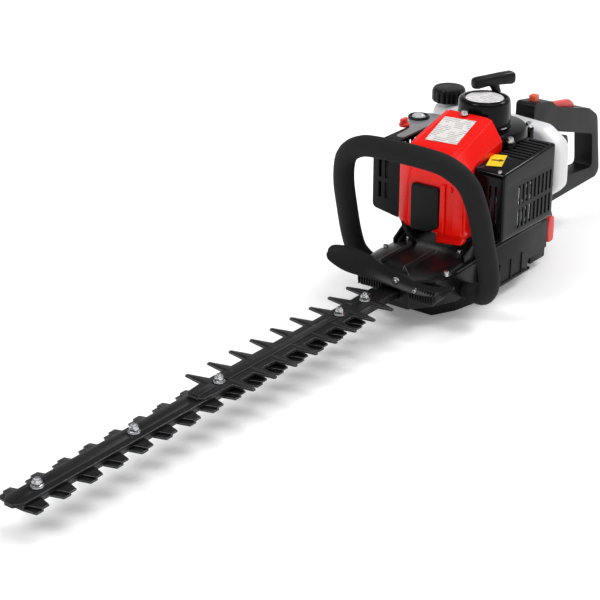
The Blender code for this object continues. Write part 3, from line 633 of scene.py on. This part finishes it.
# %% Gear case
CASE_SEAM = 59.0
CASE_HALF = [(189, 24), (166, 42), (136, 55), (104, 54), (-8, 52), (-34, 34)]
CASE_DOME = ((90, 40, 63), (98, 47, 68.5), (118, 51, 72), (140, 52.5, 73.2), (160, 51, 73),
             (173, 48.5, 72), (182, 43, 70), (189, 34, 65))


def dome(x, half, top):
    return [(x, y, CASE_SEAM + max(z, -4.0)) for y, z in egg(32, half, top - CASE_SEAM, 2.5)]


case = soften(from_node("gear_case"), 1.2, 2, 40)
shown("case_bottom", case, CASE_PAINT, ["gear_case"])
case_outline = rounded(CASE_HALF + [(u, -v) for u, v in reversed(CASE_HALF)], 6.0)
flange = soften(prism(case_outline, 58.3, 61.8), 1.4, 3)
hump = loft([dome(*row) for row in CASE_DOME])
ridge = [(13.0, 66), (16.2, 76.2), (17.6, 76.2), (24, 66)]
ridges = [soften(prism([(side * y, z) for y, z in ridge], 124, 187, "X"), 0.7, 2, 20) for side in (-1, 1)]
shown("case_cover", joined(flange, hump), CASE_PAINT, ["gear_case_cover"])
# The ridges' crests carry a painted highlight from their paint's bright edges.
shown("case_ridges", joined(*ridges), RIDGE_HIGHLIGHT_PAINT)

# %% Case webs and screws
webs = []
for side in (-1, 1):
    for y, top, toe in ((50, 84, 70), (44, 80, 68)):
        shape = [(84, 60), (84, top), (92, top - 2), (112, toe), (112, 60)]
        web = prism(shape, *sorted((side * y, side * (y - 3))), "Y")
        webs.append(soften(web, 0.9, 3, 40))
shown("case_webs", joined(*webs), CASE_PAINT)


def cap_screw(centre, radius, height, axis="Z"):
    """A flanged screw with a domed head and a round, tapered socket."""
    profile = [(0, 0), (radius, 0), (radius, 0.25 * height), (0.78 * radius, 0.32 * height),
               (0.74 * radius, 0.85 * height), (0.62 * radius, height), (0.36 * radius, height),
               (0.30 * radius, 0.55 * height), (0, 0.5 * height)]
    return turned(profile, centre, axis, steps=24)


CASE_SCREWS = [(140, -41, 67.0), (152, 51, 61.6), (100, 36, 66.6), (100, -36, 66.6)]
case_screws = joined(*[cap_screw(place, 4.2, 5.2) for place in CASE_SCREWS])
shown("case_screws", case_screws, ZINC)

# %% [markdown]
# The hand shield is a thin scooped plate like a wide leaf, leaning back and highest on its far half. Its
# cross-section is a slim rounded strip, whose lower and upper edges follow a list of heights across the
# machine. Two ribbed pods carry it on the case.

# %% Hand shield
SHIELD_EDGES = [(-97, 60.5, 65.5), (-92, 56, 71), (-77, 54, 75.5), (-61, 53, 78), (-44, 53.5, 78),
                (-27, 54.5, 76.5), (-9, 54, 72), (11, 52, 66.5), (24, 50, 63), (40, 49, 61),
                (54, 49.5, 60.5), (66, 52, 61.5), (75, 57, 64), (80, 61, 64.5)]
SHIELD_X, SWEEP, HALF_SPAN, SCOOP, LEAN = 193.5, 15.0, 97.0, 2.4, 0.30
POD_FEET = (((-46, 43), (-40, 39), (-6, 41), (-6, 58), (-46, 58)),
            ((24, 37), (56, 37), (62, 43), (60, 56), (24, 56)))
sections = []
for y, low, high in smooth_path(SHIELD_EDGES, 3):
    x = SHIELD_X - SWEEP * (y / HALF_SPAN) ** 2
    section = []
    for u, v in egg(20, 1.9, (high - low) / 2, 2.6):
        share = 2 * v / (high - low)
        back = SCOOP * (1 - share ** 2)
        section.append((x + u - back - LEAN * (high - low) * share, y, v + (high + low) / 2))
    sections.append(section)
shield = loft(sections)
pods = []
for foot in POD_FEET:
    pods.append(soften(prism(rounded(foot, 4), 168.0, 190.0, "X"), 2.0, 3, 50))
    for i in range(10):
        y = foot[0][0] + 2.5 + 3.5 * i
        pods.append(block((189.0, y, 40.5), (191.8, y + 1.7, 55), 0.6, 2))
shown("hand_shield", joined(shield, *pods), SATIN, ["hand_guard"])
centre_bolts = joined(cap_screw((191, 10, 57.5), 4.6, 6, "X"), cap_screw((190, 36, 52), 3.2, 5, "X"))
shown("shield_bolts", centre_bolts, ZINC)

# %% [markdown]
# ## Engine cover
# The red cover is one glossy moulding: a sloping top with a raised panel for the label, shoulders that
# fall to the sides, and a front with a post, a deep channel and a side plate. Each cross-section lists the
# same corners, so bridging them gives long clean creases.


# %% Red cover
COVER_BACK, COVER_FRONT, COVER_WALL = 34, 120.5, 2.2
CREST_BACK, CREST_X, CREST_FRONT = 211.5, 92, 194


def cover_section(x, near, far, low, side_top, top, crown, panel=1.4):
    points = []
    for side, half in ((1, near), (-1, far)):
        edge = min(crown, half - 5)
        right = [(half - 5, low), (half, low + 7), (half, side_top), (edge, top), (edge - 3, top),
                 (edge - 5.5, top + panel)]
        points += [(x, side * y, z) for y, z in (right if side > 0 else reversed(right))]
    return points


cover = loft([cover_section(COVER_BACK, 46.5, 46.5, 88, 189, CREST_BACK, 31),
              cover_section(60, 46.7, 46.5, 86, 185, 203.65, 32.5),
              cover_section(CREST_X, 47.5, 46, 86, 178, CREST_FRONT, 34),
              cover_section(104, 50, 45.5, 88, 173.5, 190, 33.5),
              cover_section(113, 53, 42, 91, 168, 184.5, 31.5, 1.0),
              cover_section(121, 54, 23, 95, 156, 174, 18, 0.4)])
cover = soften(cover, 1.8, 4, 12, keep=lambda edge: all(vert.co.x < COVER_BACK + 0.5 for vert in edge.verts))
cover = walled(opened(cover, lambda face: face.normal.x < -0.99), COVER_WALL)
shown("red_cover", cover, GLOSS_RED, ["engine_cover"])

post = [(20.6, 100), (27.5, 96), (27.5, 158), (20.6, 155)]
plate = [(38.5, 96), (51, 99), (51, 146), (44, 158), (38.5, 160)]
rims = [soften(prism(rounded(shape, 2.5), COVER_FRONT - 3, COVER_FRONT + proud, "X"), 1.6, 4, 50)
        for shape, proud in ((post, 3.6), (plate, 2.8))]
boss = turned([(0, 0), (3.6, 0), (3.6, 2.6), (3.0, 3.4), (0, 3.4)], (COVER_FRONT, 33, 151), "X", 32)
tab = [(12, 80), (46, 84), (50, 99), (12, 99)]
skirt = soften(prism(rounded(tab, 3), 104, 116, "X"), 2.0, 4, 50)
shown("red_front", joined(*rims, boss, skirt), GLOSS_RED)

pad_outline = rounded([(-18, 93), (8, 95), (20, 102.5), (19.6, 151), (-18, 151)], 5.5)
pad = soften(prism(pad_outline, 119.0, 126.0, "X"), 2.2, 4, 50)
shown("front_pad", pad, NYLON, ["plug_cover"])

# %% [markdown]
# A label is a thin block turned by the slope it lies on, with plain grey bars instead of print.


# %% Labels
def sheet_on_slope(name, centre, size, slope, turn, finish):
    bm = block((-size[0] / 2, -size[1] / 2, 0), (size[0] / 2, size[1] / 2, SHEET), 0.1, 1)
    corners = [edge for edge in bm.edges if abs(edge.verts[0].co.z - edge.verts[1].co.z) > 0.6 * SHEET]
    bmesh.ops.bevel(bm, geom=corners, offset=1.8, offset_type="OFFSET", affect="EDGES", segments=4,
                    profile=0.5, material=-1)
    tilt = Matrix.Rotation(math.atan(slope), 4, "Y") @ Matrix.Rotation(math.radians(turn), 4, "Z")
    bm.transform(Matrix.Translation(centre) @ tilt)
    shown(name, bm, finish)


SHEET = 0.35
TOP_SLOPE = (CREST_BACK - CREST_FRONT) / (CREST_X - COVER_BACK)
label_x = 70.5
label_z = CREST_BACK + 1.5 - TOP_SLOPE * (label_x - COVER_BACK)
sheet_on_slope("top_label", (label_x, -1, label_z), (50, 41), TOP_SLOPE, 5, LABEL)

# %% [markdown]
# ## Starter
# Housing, cap and reel share one upright axis. The housing and the cap are turned profiles with a seam, a
# lip and soft shoulders, in many steps because their polish shows the room.

# %% Starter housing and cap
EAR_RADIUS = 55.5
EARS = [(EAR_RADIUS * math.cos(math.radians(angle)), EAR_RADIUS * math.sin(math.radians(angle)))
        for angle in (66, 136, 205, -66)]
housing = [(0, 192), (47.5, 192), (50.3, 191.2), (52, 189), (53.1, 176), (54.2, 164), (54.2, 162.6),
           (53.5, 162), (54.3, 161.4), (55, 160), (55, 145.4), (54.4, 145), (52.4, 145), (52.4, 160),
           (50.5, 187), (0, 189)]
ear = [(0, 170), (6, 170), (6.4, 171), (6.4, 184), (5.6, 185.4), (0, 185.4)]
ears = [turned(ear, (x, y, 0), steps=24) for x, y in EARS]
pull_x, pull_y, pull_z = -42.0, 2.0, 192.0
guide = turned([(2.6, pull_z - 4), (8.5, pull_z - 4), (8.5, pull_z + 3), (7.0, pull_z + 5.6),
                (4.2, pull_z + 6), (2.6, pull_z + 4.6)], (pull_x, pull_y, 0), steps=40, closed=True)
starter_shell = joined(turned(housing, steps=96), *ears, guide)
shown("starter_shell", starter_shell, GLOSS_BLACK, ["starter_housing"])
cap = [(0, 223), (22.8, 223), (23.4, 224.6), (24.6, 225.4), (28.4, 224.9), (30.0, 223.6), (30.8, 221),
       (31.6, 204), (32, 194), (33.2, 193.2), (33.2, 192.3), (29.6, 192.3), (28.4, 221), (0, 221)]
shown("starter_dome", turned(cap, steps=96), GLOSS_BLACK, ["starter_cap"])
disc = [(0, 222.9), (22.6, 222.9), (22.6, 224.0), (21.8, 224.6), (0, 224.9)]
shown("cap_disc", turned(disc, steps=96), CAP_LABEL)
screws = [cap_screw((x, y, 185.2), 5.0, 6.0) for x, y in EARS]
screws.append(cap_screw((38, -3, 212.4), 5.0, 5.0))
shown("starter_screws", joined(*screws), ZINC)

# %% [markdown]
# The pull grip is a T: a flattened, slightly drooping bar, thicker at its ends, on a tapered neck. The cord
# runs from the housing's guide into the neck.

# %% Pull grip and cord
grip_centre = Vector((-33.0, -9.0, 236.0))
sections = []
for along, half_v, half_w, rise in ((-29.3, 4.2, 5.0, -0.8), (-28.6, 6.2, 6.8, -0.7), (-25, 7.4, 8.0, -0.4),
                                    (-12, 7.2, 7.4, 0.3), (0, 7.0, 6.8, 0.6), (12, 7.2, 6.6, 0.5),
                                    (24, 7.4, 7.0, 0), (28, 6.4, 6.2, -0.2), (29.3, 4.4, 4.4, -0.3)):
    sections.append([(along, v, w + rise) for v, w in egg(28, half_v, half_w, 2.8)])
bar = loft(sections)
bar.transform(Matrix.Translation(grip_centre) @ Matrix.Rotation(math.radians(-22), 4, "Z"))
neck = []
for share, half_u, half_v in ((0, 5.2, 5.2), (0.06, 7.4, 7.4), (0.28, 7.0, 7.0), (0.4, 5.6, 5.4),
                              (0.65, 5.2, 5.0), (0.85, 7.0, 5.4), (1.0, 9.0, 5.6)):
    middle = Vector((pull_x, pull_y, 198.6)).lerp(grip_centre - Vector((0, 0, 3)), share)
    neck.append([(middle.x + u, middle.y + v, middle.z) for u, v in egg(28, half_u, half_v)])
shown("pull_grip", joined(bar, loft(neck)), SATIN, ["starter_handle"], "pull_grip")

CORD_RADIUS, CORD_FOOT, CORD_STEP = 1.6, 186, 0.5
round_cord = egg(12, CORD_RADIUS, CORD_RADIUS)
cord = loft([[(pull_x + u, pull_y + v, CORD_FOOT + CORD_STEP * i) for u, v in round_cord] for i in range(41)])
cord_piece = shown("pull_cord", cord, ROPE, body=None)
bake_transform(cord_piece)

# %% [markdown]
# ## Slotted shells
# The exhaust shield and the air box are thin shells with rows of slots. A closed block is rounded, its
# inner side is opened, the outer wall is scored along the slots' edges with `bisect_plane`, the faces
# between the scores are taken out, and `solidify` gives what is left its wall.


# %% Piercing a wall
def scored(bm, is_wall, lines):
    """Cut the faces for which is_wall(face) holds along each line, given as (axis, value)."""
    for axis, value in lines:
        wall = [face for face in bm.faces if is_wall(face)]
        edges = list({edge.index: edge for face in wall for edge in face.edges}.values())
        verts = list({vert.index: vert for face in wall for vert in face.verts}.values())
        point, normal = [0, 0, 0], [0, 0, 0]
        point[axis], normal[axis] = value, 1
        bmesh.ops.bisect_plane(bm, geom=verts + edges + wall, plane_co=point, plane_no=normal, dist=0.001)
        numbered(bm)
    return [face for face in bm.faces if is_wall(face)]


def pierce(bm, is_wall, windows, axes, panel=None):
    """Take windows (u0, u1, v0, v1) out of a wall; a panel round them gets the second finish."""
    u, v = axes
    limits = windows + ([panel] if panel else [])
    lines = {(u, value) for window in limits for value in window[:2]}
    lines |= {(v, value) for window in limits for value in window[2:]}

    def inside(face, window):
        middle = face.calc_center_median()
        return window[0] < middle[u] < window[1] and window[2] < middle[v] < window[3]

    wall = scored(bm, is_wall, sorted(lines))
    if panel:
        for face in wall:
            face.material_index = int(inside(face, panel))
    gone = [face for face in wall if any(inside(face, window) for window in windows)]
    bmesh.ops.delete(bm, geom=gone, context="FACES")
    return bm


print("a wall can be pierced")

# %% Exhaust shield
SHIELD_INNER, SHIELD_OUTER, SHIELD_REAR, SHIELD_TOP = 47.5, 88, -20, 181
SHELL_WALL, SLOT_PITCH, FIN_PITCH, RIB_PITCH = 2.4, 8.8, 7.5, 7.6
SLOT_ROWS = ((99, 122), (127, 151))
side_view = [(SHIELD_REAR, 90), (95, 91), (96.4, 168, 4), (94, 173.6, 5), (SHIELD_REAR, SHIELD_TOP)]
shell = prism(rounded(side_view, 4.0, 4), SHIELD_INNER, SHIELD_OUTER, "Y")
shell = soften(shell, 6.5, 5, 50, keep=lambda edge: all(vert.co.y < SHIELD_INNER + 1 for vert in edge.verts))
shell = opened(shell, lambda face: face.normal.y < -0.9)
slots = [(-12.5 + SLOT_PITCH * i, -8.1 + SLOT_PITCH * i, *row) for i in range(9) for row in SLOT_ROWS]
shell = pierce(shell, lambda face: face.normal.y > 0.999, slots, (0, 2), (-13.4, 86, 97, 156))
fins = [(54 + FIN_PITCH * i, 57.5 + FIN_PITCH * i, 104, 158) for i in range(4)]
shell = pierce(shell, lambda face: face.normal.x > 0.9 and face.calc_area() > 60, fins, (1, 2))
shell = walled(shell, SHELL_WALL)
shown("exhaust_shield", shell, (GLOSS_BLACK, PANEL), ["muffler_cover"])

top_ribs = []
for i in range(8):
    x = -13 + RIB_PITCH * i
    z = SHIELD_TOP - 6.5 * (x - SHIELD_REAR) / 108
    top_ribs.append(block((x, 50 if x > -10 else 56, z - 1.0), (x + 3.6, 83, z + 1.1), 0.9, 3))
shown("shield_ribs", joined(*top_ribs), PANEL)
shown("shield_screw", cap_screw((91, 79, 173.2), 2.6, 3.4), ZINC)
outlets = [turned([(5.5, 80.4), (9.0, 80.4), (9.0, 86.8), (5.5, 86.8)], (x, 0, z), "Y", 32, closed=True)
           for x, z in ((44, 111), (40, 139), (58, 126))]
seams = [block((x, 80.4, 102), (x + 2.2, 86.8, 148), 0.6, 2) for x in (57.2, 32)]
shown("outlet_rings", joined(*outlets, *seams), ZINC)
HEAT_SLOPE = 0.065
sheet_on_slope("heat_label", (63.5, 58, 175.9), (34, 18), HEAT_SLOPE, 20, YELLOW)
mark = joined(block((-6, -1.6, 0), (4, 1.6, 0.3)), prism([(3, -4), (9, 0), (3, 4)], 0, 0.3))
mark.transform(Matrix.Translation((63.5, 58, 176.2)) @ Matrix.Rotation(math.atan(HEAT_SLOPE), 4, "Y")
               @ Matrix.Rotation(math.radians(110), 4, "Z"))
shown("heat_mark", mark, INK)

# %% Air box with choke and primer
front_view = [(-94, 94, 7), (-60, 88), (-56.5, 88), (-56.5, 184.5), (-78, 184.5, 8), (-94, 172, 10)]
shell = soften(prism(rounded(front_view, 1.0, 4), -16, 92, "X"), 3.0, 4, 50,
               keep=lambda edge: all(vert.co.y > -57.5 for vert in edge.verts))
shell = opened(shell, lambda face: face.normal.y > 0.9)
slots = [(y, y + 4.2, low, high) for y in (-86, -77) for low, high in ((108, 128), (133, 156))]
shell = pierce(shell, lambda face: face.normal.x > 0.999, slots, (1, 2))
slots = [(2 + 11 * i, 8 + 11 * i, 124, 158) for i in range(7)]
shell = pierce(shell, lambda face: face.normal.y < -0.999, slots, (0, 2))
shown("air_case", walled(shell, SHELL_WALL), PANEL, ["air_box"])
deck_view = [(-13, -90, 12), (28, -90, 16), (50, -72, 10), (84, -68), (84, -58), (-13, -58)]
deck = soften(prism(rounded(deck_view, 4), 183.6, 186.0), 0.9, 3, 50)
shown("air_deck", deck, GREY_TOP)

choke = turned([(0, 184.6), (6, 184.6), (6.4, 185.4), (6.4, 187.4), (5.6, 188.4), (0, 188.4)],
               (46, -82, 0), steps=40)
paddle = block((41, -84.4, 187.6), (53, -79.6, 195), 1.6, 4)
shown("choke_knob", joined(choke, paddle), RED_KNOB, ["choke_lever"], "choke")
PRIMER = (12, -84, 0)
bulb = turned([(0, 191.6), (3.2, 191.3), (6, 190.2), (7.9, 188.6), (8.8, 187), (9, 184.4), (0, 184.4)],
              PRIMER, steps=48)
bulb_piece = shown("primer_dome", bulb, BULB, ["primer_bulb"])
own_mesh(bulb_piece)
bezel = turned([(9.6, 184.2), (13.0, 184.2), (13.2, 187.6), (12.2, 189), (10.6, 189), (9.6, 188)],
               PRIMER, steps=56, closed=True)
shown("primer_ring", bezel, SATIN)

# %% Ignition lead
def swept(points, radius):
    """A round bar through points, from circles that each face along the path."""
    sections = []
    up = Vector((0, 0, 1))
    for i, point in enumerate(points):
        ahead = points[min(i + 1, len(points) - 1)] - points[max(i - 1, 0)]
        side = ahead.cross(up).normalized()
        over = side.cross(ahead).normalized()
        sections.append([tuple(point + side * u + over * v) for u, v in egg(14, radius, radius)])
    return loft(sections)


lead = smooth_path([(84, -40, 112), (102, -39, 104), (113, -35, 95), (117, -28, 87), (116, -22, 79),
                    (110, -20, 70)], 6)
shown("ignition_lead", swept(lead, 2.6), RUBBER)

# %% [markdown]
# ## Tank and filler cap
# The tank is blown from natural polyethylene: every edge is generously round and light soaks into it. The
# cap is bridged from rings with shallow flutes for the fingers.

# %% Tank and cap
CAP_X, CAP_Y = -73, -96
tank_view = [(-112, 104), (-40, 94), (60, 94, 14), (71, 106, 14), (71, 160, 22), (44, 178.5, 18),
             (-30, 182.4, 20), (-112, 182.4)]
tank = soften(prism(rounded(tank_view, 14, 6), -89, -57.5, "X"), 7.5, 5, 50)
neck = turned([(0, 180), (14.5, 180), (14.5, 183.5), (13.2, 183.8), (13.2, 190), (0, 190)],
              (CAP_X, CAP_Y, 0), steps=48)
shown("tank_shell", joined(tank, neck), MILKY, ["fuel_tank"])


def cap_ring(radius, z, depth, flutes=16):
    ring = []
    for i in range(flutes * 6):
        turn = math.tau * i / (flutes * 6)
        reach = radius - depth * max(0.0, math.cos(flutes * turn)) ** 2
        ring.append((CAP_X + reach * math.cos(turn), CAP_Y + reach * math.sin(turn), z))
    return ring


cap = loft([cap_ring(*row) for row in ((19.6, 184.3, 0.5), (20.8, 185.6, 1.5), (20.8, 196, 1.5),
                                       (20.2, 199.4, 1.0), (18.4, 201.4, 0.2), (16.2, 201.8, 0.0))])
ring = turned([(12.2, 201.6), (14, 201.6), (14, 202), (12.2, 202)], (CAP_X, CAP_Y, 0), steps=48, closed=True)
inlay = joined(ring, block((-84, -98.4, 201.5), (-62, -93.6, 202), 0.2, 1))
shown("filler_cap", joined(cap, inlay), SATIN, ["fuel_cap"], "filler_cap")

# %% [markdown]
# ## Base and handles
# The base keeps its shape with softened edges, and gets a few short ribs, two ledges and a round boss a
# side. The front handle is a steel tube in a foam sleeve that follows one smooth loop. The rear handle is a
# flat loop whose edges are rounded so far that its arm is nearly oval in section.

# %% Base
base = soften(from_node("base_frame"), 0.9, 2, 35)
shown("base_moulding", base, NYLON, ["base_frame"])
RIB_STEP, BASE_SIDE = 25, 60.2
ribs = []
for side in (-1, 1):
    low_y, high_y = sorted((side * BASE_SIDE, side * 62.2))
    for i in range(4):
        ribs.append(block((-2 + RIB_STEP * i, low_y, 16), (0.6 + RIB_STEP * i, high_y, 42), 0.8, 3))
    low_y, high_y = sorted((side * BASE_SIDE, side * 62.6))
    ribs.append(block((-40, low_y, 67), (74, high_y, 70.5), 0.9, 3))
    ribs.append(block((-12, low_y, 14.2), (82, high_y, 17), 0.9, 3))
    ribs.append(turned([(0, 0), (6, 0), (6.4, side * 0.8), (6.4, side * 2), (5, side * 2.8), (0, side * 2.8)],
                       (-62, side * 49.4, 46), "Y", 32))
shown("base_ribs", joined(*ribs), NYLON)
feet = [block((x, y, 0), (x + 16, y + 10, 3), 1.0, 2) for x in (-50, 60) for y in (-46, 36)]
shown("base_feet", joined(*feet), RUBBER)

# %% Front handle
SLEEVE_RADIUS = 12.4
half = [(118, 73, 33), (119, 82.5, 35), (126, 92, 50), (133, 95, 72), (144, 94, 108), (155, 91.5, 148),
        (163, 82, 180), (168, 60, 197), (170, 30, 202)]
whole = half + [(x, -y, z) for x, y, z in reversed(half)]
path = [Vector((118, 67, 33)), *smooth_path(whole, 7), Vector((118, -67, 33))]
curve = bpy.data.curves.new("handle_sleeve", "CURVE")
curve.dimensions = "3D"
curve.bevel_depth = SLEEVE_RADIUS * MM
curve.bevel_resolution = 8
curve.use_fill_caps = True
spline = curve.splines.new("POLY")
spline.points.add(len(path) - 1)
for knot, point in zip(spline.points, path):
    knot.co = (*(point * MM), 1.0)
spline.use_smooth = True
curve.materials.append(FOAM)
sleeve = placed("handle_sleeve", curve)
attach(sleeve, "root")
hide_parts("front_handle")
print("handle_sleeve follows", len(path), "points")
for side, node in ((1, "handle_mount_left"), (-1, "handle_mount_right")):
    profile = [(0, side * 55.4), (9.6, side * 55.4), (10, side * 56.4), (10, side * 60), (8.6, side * 61),
               (10, side * 62), (10, side * 65.6), (9.6, side * 66.4), (0, side * 66.4)]
    buffer = turned(profile, (118, 0, 33), "Y", 40)
    shown(node.replace("handle_mount", "rubber_buffer"), buffer, RUBBER, [node])

# %% [markdown]
# The rear handle's loop is two outlines, one inside the other. The face between them is extruded into a
# plate, and a pocket pressed into the arm from below and above leaves room for the trigger and its lock.


# %% Rear handle
def ring_plate(outlines, half):
    """A plate with one hole: both outlines are filled as one face and extruded along Y."""
    bm = bmesh.new()
    edges = []
    for outline in outlines:
        verts = [bm.verts.new((x, -half, z)) for x, z in outline]
        edges += [bm.edges.new(pair) for pair in zip(verts, verts[1:] + verts[:1])]
    filled = bmesh.ops.triangle_fill(bm, use_beauty=True, use_dissolve=False, edges=edges)
    faces = [part for part in filled["geom"] if isinstance(part, bmesh.types.BMFace)]
    return lifted(bm, faces, (0, 2 * half, 0))


def press_pocket(bm, x_low, x_high, half_width, up, depth):
    """Sink a straight-sided pocket into the arm's upper (up) or lower face."""
    def on_arm(face):
        middle = face.calc_center_median()
        upright = face.normal.z > 0.9 if up else face.normal.z < -0.9
        return upright and 100 < middle.z < 185 and x_low - 90 < middle.x < x_high + 30

    wall = scored(bm, on_arm, ((0, x_low), (0, x_high), (1, -half_width), (1, half_width)))
    middle = [face for face in wall if x_low < face.calc_center_median().x < x_high
              and abs(face.calc_center_median().y) < half_width]
    sunk = bmesh.ops.extrude_face_region(bm, geom=middle)
    verts = [part for part in sunk["geom"] if isinstance(part, bmesh.types.BMVert)]
    bmesh.ops.delete(bm, geom=middle, context="FACES")
    bmesh.ops.translate(bm, verts=verts, vec=(0, 0, -depth if up else depth))
    return bm


GRIP_OUTER = rounded([(-97, 194, 6), (-140, 187, 14), (-156, 174.5, 10), (-240, 152.5, 20),
                      (-264, 137, 18), (-278, 58, 10), (-269, 51, 8), (-150, 50, 8), (-128, 20, 8),
                      (-101, 20, 4), (-101, 150, 4), (-97, 158, 4)], 7, 5)
GRIP_INNER = rounded([(-126, 152), (-252, 115), (-258, 67), (-195, 74), (-150, 71), (-126, 79)], 8, 5)
CONTROLS = (("trigger_blade", "throttle_trigger", 1.5, "black_plastic", SATIN, "trigger"),
            ("lock_paddle", "trigger_lock", 1.4, "red_plastic", RED_KNOB, "trigger_safety"),
            ("switch_rocker", "stop_switch", 1.2, "orange_plastic", ORANGE_KNOB, "switch"),
            ("latch_paddle", "swivel_lock", 1.4, "red_plastic", RED_KNOB, "swivel_latch"))
loop = ring_plate((GRIP_OUTER, GRIP_INNER), 13.2)
loop = soften(loop, 5.6, 5, 50, keep=lambda edge: abs(edge.verts[0].co.y - edge.verts[1].co.y) > 5)
loop = press_pocket(numbered(loop), -216, -148, 5.0, False, 14)
loop = press_pocket(loop, -222, -151, 4.5, True, 9)
drum = turned([(0, -90), (11.6, -90), (11.6, -100.3), (36.8, -100.3), (38, -101.6), (38, -114.5),
               (36.8, -116.4), (28, -128), (0, -128.4)], (0, 0, 40), "X", 72)
shown("rear_grip_body", joined(loop, drum), NYLON, ["rear_handle"], "rear_grip")
for name, node, width, slot, finish, body in CONTROLS:
    shown(name, soften(from_node(node), width, 3), finish, [node], body)
grip_screws = [turned([(0, -13), (3.6, -13), (3.6, -14.4), (2.8, -15), (0, -15)], (x, 0, z), "Y", 24)
               for x, z in ((-112, 168), (-243, 134), (-262, 60), (-140, 60))]
shown("grip_screws", joined(*grip_screws), ZINC, body="rear_grip")

# %% [markdown]
# ## Inside
# The inner parts keep their frame meshes, and each gets the finish that its record slot calls for.

# %% Finishes for the nodes that stay
SLOT_FINISH = {"bright_steel": STEEL, "zinc_steel": ZINC, "cast_aluminium": CAST, "black_plastic": SATIN,
               "rubber_mount": RUBBER, "porcelain": PORCELAIN, "filter_foam": FILTER_FOAM, "white_rope": ROPE,
               "tool_steel": BLADE_STEEL, "painted_case": CASE_PAINT, "gloss_black": GLOSS_BLACK,
               "soft_grip": FOAM, "red_plastic": GLOSS_RED, "orange_plastic": ORANGE_KNOB,
               "white_tank": MILKY, "clear_bulb": BULB}
kept = 0
for part in frame["record"]["subparts"]:
    thing = nodes[part["node"]]
    thing.data.materials.clear()
    thing.data.materials.append(SLOT_FINISH[part["material_slot"]])
    kept += not thing.hide_render
print(kept, "nodes keep their own mesh")

# %% [markdown]
# ## Floor
# The floor is wide enough to fill the view.

# %% Floor
FLOOR_HALF, FLOOR_Z = 9.0, -0.0004
floor_mesh = bmesh.new()
bmesh.ops.create_grid(floor_mesh, x_segments=1, y_segments=1, size=FLOOR_HALF)
mesh = bpy.data.meshes.new("floor")
floor_mesh.to_mesh(mesh)
floor_mesh.free()
paper, paper_wire, paper_shader = new_finish("studio_paper", rgb(0.93, 0.93, 0.93), Emission_Strength=0.14)
paper_shader.inputs["Emission Color"].default_value = rgb(1.0, 1.0, 1.0)
feed(paper_shader, Roughness=0.8 + 0.1 * noise(paper_wire, 200.0))
mesh.materials.append(paper)
floor = placed("floor", mesh)
floor.location.z = FLOOR_Z
